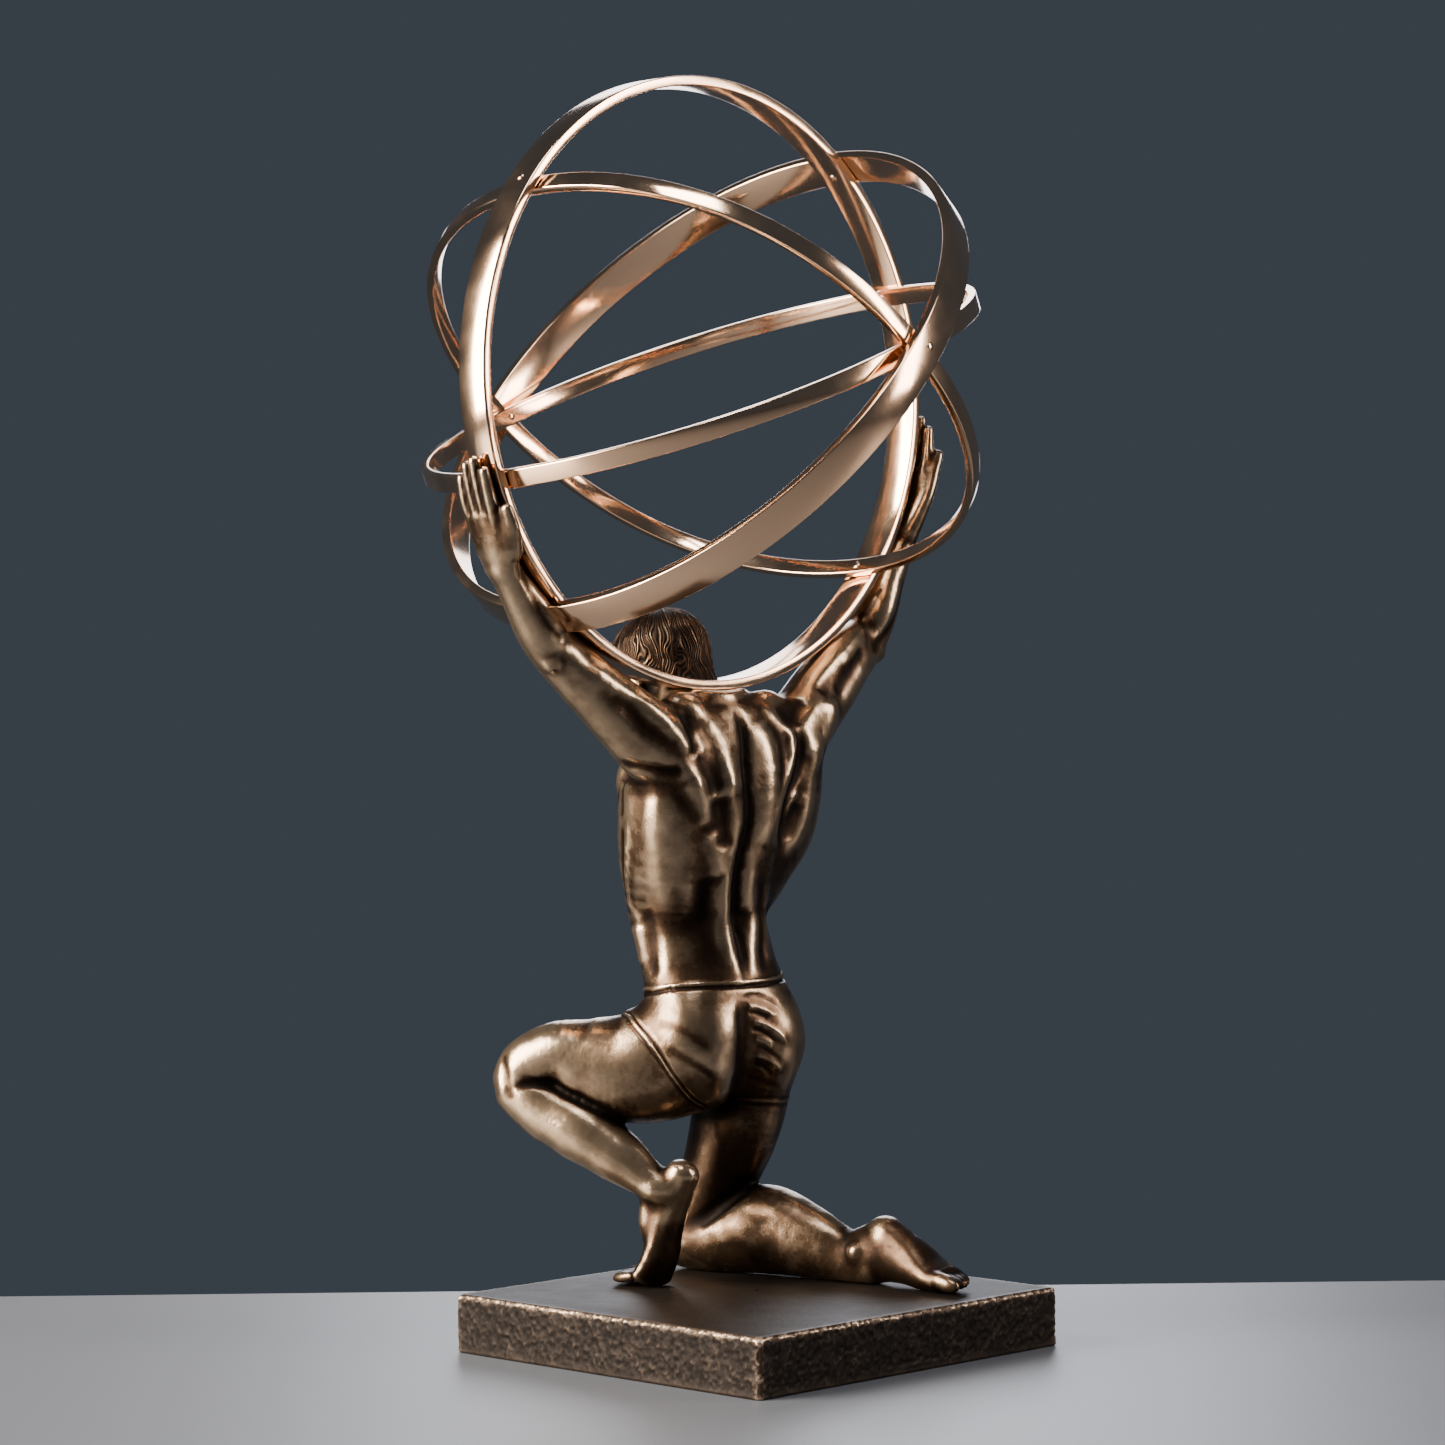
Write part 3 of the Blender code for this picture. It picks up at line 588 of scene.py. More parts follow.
def leftFootShapes():
    sole = [
        (9.2, -17.0, 29.5, 4.4, 4.3), (10.0, -19.2, 23.5, 4.6, 4.4), (11.2, -21.4, 15.0, 4.9, 3.9),
        (12.4, -22.6, 7.5, 5.6, 3.6), (13.0, -25.0, 2.8, 6.6, 3.2),
    ]
    spread = (8.4, 11.2, 13.4, 15.5, 17.4)
    reach = (-38.5, -38.0, -37.0, -35.5, -33.8)
    return [
        limb(sole, (1, -0.1, 0), 3.0),
        muscle((12.5, -24.0, 26.0), (12.6, -25.6, 12.0), 4.2, 3.2, (1, 0, 0), 3.0, 1.1),        # instep
        muscle((15.4, -21.5, 27.0), (15.2, -22.0, 24.0), 2.2, 2.4, (1, 0, 0), 1.6, 1.4),        # ankle bone
    ] + toes([(x, -26.0, 3.2) for x in spread], [(x + 0.5, y, 1.9) for x, y in zip(spread, reach)],
             (2.2, 1.6, 1.5, 1.5, 1.4))


def rightFootShapes():
    sole = [
        (-28.0, 13.0, 7.4, 5.2, 7.4), (-28.2, 19.5, 8.8, 5.2, 8.2), (-28.4, 26.0, 7.4, 5.8, 6.8),
        (-28.8, 33.0, 4.8, 6.6, 4.9), (-29.2, 38.5, 3.2, 6.6, 3.4),
    ]
    spread = (-24.8, -27.6, -30.0, -32.2, -34.2)
    reach = (46.5, 46.0, 45.0, 43.5, 42.0)
    return [
        limb(sole, (1, 0, 0), 3.0),
        muscle((-28.0, 17.5, 12.0), (-28.2, 21.8, 15.4), 4.0, 4.2, (1, 0, 0), 2.5, 1.3),        # heel
        muscle((-22.8, 12.0, 8.5), (-22.8, 15.0, 9.0), 2.0, 2.2, (0, 0, 1), 1.6, 1.4),          # ankle bone
    ] + toes([(x, 37.0, 4.2) for x in spread], [(x, y, 2.4) for x, y in zip(spread, reach)],
             (2.2, 1.6, 1.5, 1.5, 1.4))


def armShapes(shoulder, elbow, hand):
    side, wrist = hand["side"], hand["wrist"]
    inner = (shoulder[0] - side * 9.0, shoulder[1] - 1.0, shoulder[2] - 5.0)
    stations = [
        (*inner, 9.0, 9.5), (*shoulder, 9.4, 10.2), (*between(shoulder, elbow, 0.36), 7.6, 8.8),
        (*between(shoulder, elbow, 0.72), 6.6, 7.4), (*elbow, 5.8, 6.2),
        (*between(elbow, wrist, 0.30), 6.4, 6.2), (*between(elbow, wrist, 0.65), 5.2, 4.8),
        (*wrist, 4.5, 3.6),
    ]
    back = (shoulder[0] - side * 1.0, shoulder[1] + 4.5, shoulder[2] + 2.0)
    return [
        limb(stations, (0, 1, 0), 3.5, 44),
        muscle(back, between(shoulder, elbow, 0.48), 5.6, 6.2, (0, 1, 0), 2.2, 1.15),           # deltoid
        muscle(tuple(np.add(between(shoulder, elbow, 0.12), (0, 3.0, -5.5))),
               tuple(np.add(between(shoulder, elbow, 0.90), (0, 2.0, -1.0))), 4.8, 4.6, (0, 1, 0), 2.0, 1.1),
        muscle(between(elbow, wrist, -0.06), tuple(np.add(between(elbow, wrist, 0.55), (0, 2.4, 0))),
               3.8, 4.0, (0, 1, 0), 2.2, 1.15),                                                 # forearm
        muscle(tuple(np.add(elbow, (side * 2.0, 2.5, -4.2))), tuple(np.add(elbow, (side * 3.5, 2.5, -2.2))),
               2.2, 2.2, (0, 1, 0), 1.6, 1.6),                                                  # elbow bone
    ]


def handShapes(hand):
    wrist, palm, knuckles, tips, side = (hand[k] for k in ("wrist", "palm", "knuckles", "tips", "side"))
    shapes = [limb([(*wrist, 4.9, 3.6), (*palm, 6.3, 3.2), (*knuckles, 6.1, 2.2)], (0, 1, 0), 2.5, 14, 1.0)]
    for number, shorter in enumerate((0.20, 0.0, 0.08, 0.30)):
        y = 4.4 - number * 2.95
        root, end = between(palm, knuckles, 0.55), between(tips, knuckles, shorter)
        mid = between(root, end, 0.5)
        path = [(root[0], root[1] + y * 0.9, root[2], 1.8, 1.9),
                (mid[0] + side * 0.5, mid[1] + y, mid[2], 1.6, 1.7),
                (end[0], end[1] + y, end[2], 1.35, 1.3)]
        shapes.append(limb(path, (0, 1, 0), 0.7, 14, 1.0))
    root, joint, end = hand["thumb"]
    shapes.append(limb([(*root, 2.6, 2.4), (*joint, 2.1, 2.0), (*end, 1.5, 1.4)], (0, 1, 0), 2.0, 14, 1.0))
    return shapes


# The head is laid out in its own frame: -Y is the way the face looks, Z its crown. The features stand at
# the usual places of a drawn head: eyes halfway up, nose at the next quarter, mouth a third below it
headTurn = np.array(Matrix.Rotation(math.radians(figure["headTilt"]), 3, "X"))


def inHead(point):
    return tuple(headTurn @ np.array(point, dtype=float) + np.array(figure["headCentre"]))


def headShapes():
    def lump(centre, size, blend):
        low, high = np.array(centre, dtype=float), np.array(centre, dtype=float)
        low[2] -= size[2]
        high[2] += size[2]
        across = headTurn @ np.array((1.0, 0, 0))
        return muscle(inHead(low), inHead(high), size[0], size[1], across, blend)
    shapes = [
        lump((0, 3.2, 3.2), (12.2, 15.0, 12.0), 3.0),       # skull
        lump((0, -4.0, -4.0), (9.2, 9.6, 10.6), 3.0),       # face
        lump((0, -7.0, -12.4), (5.0, 4.8, 3.4), 2.5),       # chin
        lump((0, -12.6, 1.6), (7.0, 1.8, 1.5), 2.0),        # brow
        lump((0, -14.6, -4.4), (1.7, 2.2, 1.6), 1.2),       # nose
        lump((0, -13.4, -1.6), (1.1, 1.7, 3.2), 1.2),
        lump((0, -12.4, -7.9), (2.9, 1.3, 0.7), 0.8),       # lips
        lump((0, -12.2, -9.1), (2.5, 1.3, 0.8), 0.8),
    ]
    for side in (-1, 1):
        shapes += [
            lump((side * 5.6, -9.6, -4.4), (3.2, 2.8, 3.2), 2.0),       # cheek
            lump((side * 3.9, -11.6, -0.9), (1.9, 1.3, 1.2), 0.7),      # eye
            lump((side * 1.6, -13.9, -5.2), (0.9, 1.2, 0.9), 0.7),      # nostril
            lump((side * 10.8, 1.2, -2.6), (1.2, 2.3, 3.6), 0.8),       # ear
        ]
    neck = [(-8.5, -23.0, 138.0, 11.0, 11.0), (-8.3, -26.5, 145.5, 9.2, 9.8), (-8.1, -31.0, 152.0, 8.4, 9.4),
            (-8.0, -36.0, 157.5, 8.4, 9.0)]
    return shapes, [limb(neck, (1, 0, 0), 4.0)]


skull, neck = headShapes()
bodyGroups = [
    (0.5, torsoShapes() + neck),
    (3.5, armShapes(leftShoulder, leftElbow, hands["left"])),
    (3.5, armShapes(rightShoulder, rightElbow, hands["right"])),
    (3.0, leftLegShapes()),
    (3.0, rightLegShapes()),
    (2.0, leftFootShapes()),
    (2.0, rightFootShapes()),
    (1.5, handShapes(hands["left"])),
    (1.5, handShapes(hands["right"])),
    (2.0, skull),
]


# The skin: a surface net over the field
# Every grid cell that the surface passes through gets one point, the mean of the places where the surface
# crosses the cell's edges, and every crossed grid edge gets one quad between the four cells around it
def surfaceNet(field, low, high, step):
    shape = np.ceil((np.array(high) - np.array(low)) / step).astype(int) // 4 * 4 + 5
    axes = [np.array(low)[k] + step * np.arange(shape[k]) for k in range(3)]
    coarse = np.stack(np.meshgrid(*[a[::4] for a in axes], indexing="ij"), axis=-1)
    rough = field(coarse.reshape(-1, 3)).reshape(coarse.shape[:3])
    spread = rough
    for axis in range(3):
        spread = np.repeat(spread, 4, axis=axis)
    spread = np.pad(spread, 2, mode="edge")[tuple(slice(4, 4 + n) for n in shape)]
    values = spread.copy()
    near = np.nonzero(np.abs(spread) < step * 5.5)
    where = np.stack([axes[k][near[k]] for k in range(3)], axis=1)
    values[near] = field(where)
    inside = values < 0
    corner = [(i, j, k) for i in (0, 1) for j in (0, 1) for k in (0, 1)]
    cells = tuple(n - 1 for n in shape)
    count = sum(inside[i:i + cells[0], j:j + cells[1], k:k + cells[2]].astype(np.int8) for i, j, k in corner)
    active = np.nonzero((count > 0) & (count < 8))
    number = np.full(cells, -1, dtype=np.int64)
    number[active] = np.arange(len(active[0]))
    cellAt = np.stack(active, axis=1)
    held = {c: values[tuple((cellAt + np.array(c)).T)] for c in corner}
    total, hits = np.zeros((len(cellAt), 3)), np.zeros(len(cellAt))
    for a in corner:
        for axis in range(3):
            if a[axis]:
                continue
            b = tuple(1 if k == axis else a[k] for k in range(3))
            crossed = (held[a] < 0) != (held[b] < 0)
            share = np.where(crossed, held[a] / np.where(crossed, held[a] - held[b], 1), 0)
            spot = np.array(a, dtype=float)[None] + share[:, None] * np.eye(3)[axis]
            total += spot * crossed[:, None]
            hits += crossed
    points = np.array(low) + step * (cellAt + total / np.maximum(hits, 1)[:, None])
    quads = []
    for axis in range(3):
        u, v = (axis + 1) % 3, (axis + 2) % 3
        first = np.take(inside, np.arange(shape[axis] - 1), axis=axis)
        second = np.take(inside, np.arange(1, shape[axis]), axis=axis)
        edge = np.stack(np.nonzero(first != second), axis=1)
        edge = edge[(edge[:, u] > 0) & (edge[:, v] > 0) & (edge[:, u] < cells[u]) & (edge[:, v] < cells[v])]
        outward = first[tuple(edge.T)]
        ring = []
        for du, dv in ((-1, -1), (0, -1), (0, 0), (-1, 0)):
            cell = edge.copy()
            cell[:, u] += du
            cell[:, v] += dv
            ring.append(number[tuple(cell.T)])
        quad = np.stack(ring, axis=1)
        quads.append(np.where(outward[:, None], quad, quad[:, ::-1]))
    return points, np.concatenate(quads)


# Newton's method: each point slides along the field's slope until the field is zero
def ontoField(points, rounds=3, level=0.0):
    small = 0.06
    for _ in range(rounds):
        value = bodyField(points) - level
        slope = [bodyField(points + small * axis) - level - value for axis in np.eye(3)]
        slope = np.stack(slope, axis=1) / small
        size = np.maximum((slope ** 2).sum(1), 0.15)
        move = slope * (value / size)[:, None]
        length = np.linalg.norm(move, axis=1, keepdims=True)
        points = points - move * np.minimum(1, 1.2 / np.maximum(length, 1e-9))
    return points


def pointNormals(points, triangles):
    a, b, c = (points[triangles[:, k]] for k in range(3))
    faces = np.cross(b - a, c - a)
    total = np.stack([sum(np.bincount(triangles[:, k], faces[:, axis], len(points)) for k in range(3))
                      for axis in range(3)], axis=1)
    return unitRows(total)


def edgePairs(triangles):
    pairs = np.concatenate([triangles[:, [k, (k + 1) % 3]] for k in range(3)])
    return np.unique(np.sort(pairs, axis=1), axis=0)


# Faces whose middles are chosen are cut in four, and everything is made triangles
def refine(points, faces, choose):
    mesh = bpy.data.meshes.new("refined")
    mesh.from_pydata(points.tolist(), [], faces.tolist())
    work = bmesh.new()
    work.from_mesh(mesh)
    work.edges.ensure_lookup_table()
    work.faces.ensure_lookup_table()
    chosen = np.nonzero(choose(points[faces].mean(axis=1)))[0]
    edges = {edge for number in chosen for edge in work.faces[number].edges}
    edges = sorted(edges, key=lambda edge: edge.index)
    bmesh.ops.subdivide_edges(work, edges=edges, cuts=1, use_grid_fill=True)
    bmesh.ops.triangulate(work, faces=work.faces)
    work.to_mesh(mesh)
    work.free()
    made = np.empty(len(mesh.vertices) * 3)
    mesh.vertices.foreach_get("co", made)
    corners = np.empty(len(mesh.polygons) * 3, dtype=np.int32)
    mesh.polygons.foreach_get("vertices", corners)
    bpy.data.meshes.remove(mesh)
    return made.reshape(-1, 3), corners.reshape(-1, 3).astype(np.int64)


# Each point moves part of the way to the mean of its neighbours
def relax(points, pairs, rounds, share=0.5):
    degree = np.bincount(pairs.ravel(), minlength=len(points)).astype(float)
    for _ in range(rounds):
        mean = np.stack([(np.bincount(pairs[:, 0], points[pairs[:, 1], k], len(points))
                          + np.bincount(pairs[:, 1], points[pairs[:, 0], k], len(points))) / degree
                         for k in range(3)], axis=1)
        points = points + share * (mean - points)
    return points


# Lines carved into or raised on the skin: (path, width, depth), depth below zero raises it. The path is laid
# on the skin first, and the section is a bell curve of the distance from it. An open path fades at both ends
def carve(points, normals, lines):
    move = np.zeros(len(points))
    for path, width, depth in lines:
        length = np.linalg.norm(np.diff(np.array(path), axis=0), axis=1).sum()
        count = max(6, int(length / 0.4))
        laid = ontoField(alongPath(path, count), 6)
        low, high = laid.min(0) - 2.6 * width, laid.max(0) + 2.6 * width
        inside = np.nonzero(((points > low) & (points < high)).all(axis=1))[0]
        if not len(inside):
            continue
        part = points[inside]
        away = (part ** 2).sum(1)[:, None] - 2 * part @ laid.T + (laid ** 2).sum(1)[None]
        index = away.argmin(axis=1)
        distance = np.sqrt(np.maximum(away[np.arange(len(part)), index], 0))
        share = index / (count - 1)
        fade = 1.0 if path[0] == path[-1] else np.clip(np.minimum(share, 1 - share) * 5 + 0.15, 0, 1)
        move[inside] -= depth * fade * np.exp(-(distance / width) ** 2)
    return points + normals * move[:, None]


def movedUp(path, z):
    return [(p[0], p[1], p[2] + z) for p in path]


spine = [(-8.4, -12, 149), (-8.6, -11, 145), (-8.1, -10, 140), (-7.4, -9, 132), (-8.4, -9, 124),
         (-8.2, -9, 118), (-6.8, -10, 111), (-6.4, -12, 104), (-7.6, -13, 95), (-8.4, -12, 86),
         (-7.8, -10, 79)]
waist = [(11.2, -28, 75.6), (10.3, -23.6, 75.9), (5.5, -14.8, 76.8), (-6.9, -9.7, 77.0), (-19, -9.5, 77.6),
         (-27.5, -15, 78.2), (-31, -25, 78.4), (-29, -35, 77.0), (-20, -41, 74.5), (-10, -42.5, 73.5),
         (1, -41, 73.8), (8.5, -36, 74.8), (11.2, -28, 75.6)]
leftHem = [(14.7, -30.6, 69.7), (16.1, -25.1, 66.4), (15.4, -19.6, 61.0), (12.6, -16.5, 54.5),
           (7.5, -15.5, 48.6), (0, -18, 46.0), (-5, -26, 46.5), (-2, -36, 50.5), (3, -42, 58.0),
           (10, -38, 67.0), (14.7, -30.6, 69.7)]
rightHem = [(-6.5, -24, 46.5), (-9, -14, 45.8), (-19, -9.5, 45.4), (-29, -14, 45.8), (-33, -24, 47.0),
            (-29, -36, 50.0), (-19, -40, 51.0), (-9, -36, 49.0), (-6.5, -24, 46.5)]
# what the trained back, shoulders and legs show: hollows and furrows carved in, ridges and swells raised
muscleLines = [
    (spine, 1.1, 1.5), (spine, 4.2, 0.8),
    # right of the spine: the long swell, its outer ridge, the furrow beyond it and the lat
    ([(-14, -11, 146), (-16.5, -9.5, 138), (-17, -9, 130), (-15.5, -9, 121), (-13.5, -9.5, 113)], 4.2, -1.3),
    ([(-18.4, -14.4, 149.5), (-22.1, -12.6, 146), (-25.8, -10.7, 141.5), (-25.4, -9.5, 135),
      (-22.5, -9.2, 128.5), (-19.2, -9.3, 121.6), (-17.8, -9.6, 115.5)], 1.8, -1.1),
    ([(-28.9, -10.1, 143), (-28.6, -9.6, 137.6), (-26.6, -9.3, 131), (-23.4, -9.2, 126), (-21.9, -9.5, 121),
      (-22.5, -11, 113)], 1.5, 2.0),
    ([(-36, -13, 142), (-34, -12, 134), (-32.5, -12, 125), (-29, -12.5, 116.5),
      (-24.3, -12.4, 109)], 3.0, -1.5),
    ([(-31.6, -9.8, 137), (-29.6, -9.8, 131), (-28, -9.8, 126)], 2.4, 0.9),
    ([(-27.6, -10, 124), (-26, -10, 119), (-24, -10.5, 114)], 2.2, 0.7),
    ([(-27.5, -13, 145), (-31, -13.5, 148), (-35, -14.5, 151)], 2.2, 1.2),
    ([(-43, -12.9, 150.5), (-43.5, -12.4, 145.2), (-38.3, -11.2, 138.7)], 2.5, -1.4),
    ([(-54, -18, 160), (-46, -14, 156), (-40, -12, 153)], 1.8, 0.8),
    # left of the spine: the rear of the shoulder, the furrow below it, the swell by the spine and its bumps
    ([(38, -20, 160), (30, -17, 155), (21, -13.5, 148.5), (13.4, -10.5, 141.5)], 3.0, -1.2),
    ([(36, -20, 154.5), (28, -17, 149), (20, -13, 142), (13, -10.5, 136.8), (9.3, -9.7, 137.5)], 2.6, 1.0),
    ([(24.6, -22, 135.4), (22.7, -17, 134.2), (17.7, -13, 133), (13.5, -10, 133.2)], 1.6, 1.0),
    ([(4, -13, 146), (0.4, -10, 136), (-2.8, -8.8, 126)], 3.4, -1.3),
    ([(9, -12, 149), (9.6, -10.5, 143), (8.8, -9.8, 137)], 1.6, 1.5),
    ([(8.4, -10, 137.5), (5.0, -9.6, 132), (2.6, -9.4, 127)], 2.6, 1.2),
    ([(2.2, -9.5, 126), (0.2, -9.5, 120), (-0.6, -9.5, 112)], 2.6, 1.1),
    ([(10.5, -11, 131), (7.6, -10.7, 125), (5.6, -10.7, 118)], 3.0, -1.0),
    ([(4.6, -11, 117), (2.4, -11, 111), (0, -11, 105)], 3.0, -0.9),
    ([(14.5, -31, 133), (15.8, -30, 121)], 1.0, 1.0),
    ([(16.2, -27.4, 119), (15, -29.3, 112), (12.8, -31.5, 105), (10.6, -33, 99),
      (10.4, -31, 95.5)], 0.9, -0.9),
    ([(15.6, -29.4, 119), (14.4, -31.2, 112), (12.2, -33.3, 105), (10, -34.8, 99)], 1.1, 0.9),
    # low back and flanks
    ([(-3.2, -12, 108), (-3.2, -12.6, 100.6), (-5, -13.3, 91.4), (-5.2, -10.5, 80)], 1.9, -0.8),
    ([(-10.4, -11.5, 108), (-11.6, -12.5, 100), (-12.3, -13.5, 91.4), (-11.4, -10.1, 80)], 2.1, -0.9),
    ([(4.0, -14.8, 106), (2.4, -14.8, 97), (1.5, -14.8, 90.5), (1.1, -12.9, 81)], 2.8, 1.3),
    ([(-15.8, -11.6, 104), (-17.2, -12.8, 95), (-17, -12.8, 88), (-16.1, -11, 81)], 1.6, 1.0),
    ([(9.8, -28.5, 98), (9.5, -26.8, 88), (9.8, -27.2, 79)], 2.2, 1.1),
    ([(11.5, -32, 93), (11, -32.5, 82)], 2.6, -1.0),
    # seat, and the cloth's pull between its halves
    ([(-4.9, -9.6, 73.5), (-3.8, -8.6, 63.4), (-4.7, -11.2, 53), (-7.7, -17.5, 46.5)], 1.6, 0.8),
    # knees
    ([(34.5, -54.5, 51.5), (29.5, -49.5, 52.2), (25, -44.5, 51), (20.6, -36.5, 45.5)], 0.9, 0.9),
    ([(33.0, -59.5, 60), (34.6, -56.6, 54), (34.2, -55, 47.5)], 1.3, 0.9),
    ([(28.5, -60.5, 62), (24.0, -63.5, 57), (22.5, -63.5, 49)], 1.3, 0.7),
    ([(-10.2, -30.4, 12.5), (-12.7, -23.9, 17.8), (-16.8, -19, 22.3)], 0.9, 0.8),
    # arms: the line between the two bellies of each forearm, and the long furrow behind each upper arm
    ([(59, -21.5, 186), (52, -20.5, 172), (45, -20, 166.5)], 1.5, 0.9),
    ([(-80, -20.5, 184), (-73.5, -19, 170), (-66, -18, 163)], 1.5, 0.9),
    ([(40, -21.5, 164), (31, -17.5, 158), (23, -16, 152)], 2.2, 0.4),
    ([(-62, -18, 164), (-54, -16.5, 158), (-47, -14, 152)], 1.6, 1.1),
    # front: collar bones, breast line, the lines of the belly
    ([(-8, -38.5, 141), (2, -38, 143), (13, -32, 145)], 1.4, -0.7),
    ([(-10, -38.5, 141), (-22, -38, 143), (-32, -32, 145)], 1.4, -0.7),
    ([(-9.6, -42, 136), (-9.6, -43, 122), (-9.6, -44, 106), (-9.6, -44, 84)], 1.4, 1.0),
    ([(9, -41, 124), (2, -43.5, 119.5), (-7, -43.5, 119.5)], 1.6, 0.9),
    ([(-28, -41, 124), (-21, -43.5, 119.5), (-12, -43.5, 119.5)], 1.6, 0.9),
    ([(9.5, -37, 78), (2, -42, 70), (-5, -42, 63)], 1.5, 0.6),
    ([(-28, -37, 78), (-21, -42, 70), (-14, -42, 63)], 1.5, 0.6),
]
seams = [(waist, 0.55, 0.5), (movedUp(waist, 1.15), 0.6, -0.32)]
for hem, share in ((leftHem, 1.0), (rightHem, 0.4)):
    seams += [(hem, 0.55, -0.34 * share), (movedUp(hem, 1.1), 0.5, 0.32 * share),
              (movedUp(hem, -1.1), 0.5, 0.32 * share)]
pulls = [
    ([(-5.8, -9.6, 74.2), (-9.0, -8.9, 74.6), (-13.0, -8.7, 73.6), (-16.5, -8.6, 71.4)], 0.7, 0.18),
    ([(-6.6, -9.2, 71.6), (-10.0, -8.6, 71.2), (-14.8, -7.4, 69.0)], 0.8, -0.26),
    ([(-6.9, -9.2, 70.2), (-9.8, -8.5, 69.6), (-12.5, -7.9, 68.2)], 0.6, 0.2),
    ([(-7.5, -9.0, 67.6), (-11.0, -8.0, 66.8), (-15.0, -7.0, 64.6), (-17.8, -6.6, 61.8)], 0.8, -0.30),
    ([(-7.6, -9.0, 66.0), (-10.8, -8.0, 65.0), (-14.6, -6.6, 62.4)], 0.6, 0.22),
    ([(-8.4, -8.7, 63.6), (-11.0, -7.6, 62.8), (-13.4, -6.8, 61.2)], 0.7, -0.22),
    ([(-8.6, -8.6, 61.8), (-12.2, -7.2, 60.2), (-16.4, -6.2, 57.2)], 0.7, 0.22),
    ([(-9.4, -8.8, 59.4), (-13.4, -7.4, 57.6), (-17.2, -6.8, 54.6)], 0.9, -0.26),
    ([(-9.2, -9.8, 57.2), (-12.0, -8.6, 56.0), (-14.8, -8.0, 53.6)], 0.6, 0.2),
    ([(-8.4, -11.6, 54.0), (-12.6, -9.8, 52.2), (-18.0, -9.2, 50.0)], 0.9, 0.20),
    ([(12.0, -17.5, 62.0), (8.0, -13.5, 58.5), (4.0, -11.5, 54.0)], 1.2, 0.20),
    ([(13.2, -21.0, 68.0), (10.0, -15.5, 66.0), (6.0, -12.0, 62.0)], 1.2, 0.16),
]


def needsFine(middles):
    face = (middles[:, 2] > 148) & (np.abs(middles[:, 0] + 8) < 14) & (middles[:, 1] < -41)
    fingers = (middles[:, 2] > 189) & (np.abs(middles[:, 0] + 8) > 62)
    feet = (middles[:, 2] < 17) & ((middles[:, 1] > 22) | ((middles[:, 0] > 4) & (middles[:, 1] < -14)))
    chosen = face | fingers | feet
    for path, width, depth in seams + pulls:
        length = np.linalg.norm(np.diff(np.array(path), axis=0), axis=1).sum()
        laid = ontoField(alongPath(path, max(4, int(length / 1.5))), 6)
        low, high = laid.min(0) - 3, laid.max(0) + 3
        inside = np.nonzero(((middles > low) & (middles < high)).all(axis=1) & ~chosen)[0]
        if len(inside):
            away = np.linalg.norm(middles[inside][:, None] - laid[None], axis=2).min(axis=1)
            chosen[inside[away < 1.3]] = True
    return chosen


def buildFigure():
    low, high = (-106.0, -76.0, -1.0), (80.0, 54.0, 236.0)
    points, quads = surfaceNet(bodyField, low, high, figure["grid"])
    print("skin laid:", len(points), "points")
    points = ontoField(points, 2)
    points, triangles = refine(points, quads, needsFine)
    print("skin refined:", len(points), "points,", len(triangles), "triangles")
    pairs = edgePairs(triangles)
    points = ontoField(relax(points, pairs, 2), 3)
    lines = [(path, width * figure["lineWidth"], depth * figure["lineDepth"])
             for path, width, depth in muscleLines]
    points = carve(points, pointNormals(points, triangles), lines)
    points = relax(points, pairs, 1)
    points = carve(points, pointNormals(points, triangles), seams + pulls)
    normals = pointNormals(points, triangles)
    uneven = sum(height * softNoise(points / size, seed) for height, size, seed in figure["uneven"])
    points = points + normals * uneven[:, None]
    points[:, 2] = np.maximum(points[:, 2], figure["ground"])
    normals = pointNormals(points, triangles)
    near = relax(points, pairs, 8)
    wideArea = relax(near, pairs, 30)
    fine = ((near - points) * normals).sum(1)
    broad = ((wideArea - points) * normals).sum(1)
    # painted shade: the closer the body crowds a point along its normal, at 2, 5 and 11 mm, the darker that
    # point is painted, as ambient occlusion would shade it
    shade = np.zeros(len(points))
    for reach, weight in ((2.0, 0.4), (5.0, 0.35), (11.0, 0.25)):
        clear = bodyField(points + normals * reach)
        shade += weight * np.clip(1 - clear / reach, 0, 1)
    # painted shade: the lower right leg and the left foot are painted darker, standing in for the shadow they
    # sit in
    low = (np.clip((50.0 - points[:, 2]) / 14.0, 0, 1) * np.clip((3.0 - points[:, 0]) / 7.0, 0, 1)
           + np.clip((18.0 - points[:, 2]) / 8.0, 0, 1) * np.clip(points[:, 0] / 6.0, 0, 1))
    # stain kept in the hollows (fine and broad curvature), plus painted shade: half of the occlusion shade
    # and a fifth of the darkened low parts
    stain = np.clip(fine * 1.3 + broad * 0.28, 0, 0.30) + 0.5 * shade + 0.20 * np.clip(low, 0, 1)
    values = {
        "stain_and_shade": np.clip(stain, 0, 1),
        "crest": np.clip(-fine * 2.0 - broad * 0.3, 0, 0.36),
    }
    placed = points * mm + np.array([0, 0, base * mm])
    makePiece("figure_cast", placed, triangles, "figure", bronze, values)


buildFigure()
print("figure made")


# Hair: combed from the crown down to the hairline, in strands that are cut as fine as the casting holds
hair = {
    "middle": (0.0, 2.6, 1.0), "crown": (0.0, 0.50, 0.87), "strands": 120, "columns": 6, "rows": 130,
    "thick": 0.45, "relief": 0.40,       # mm
    "locks": 7,                          # the larger, the shorter the locks that end the hairline
}


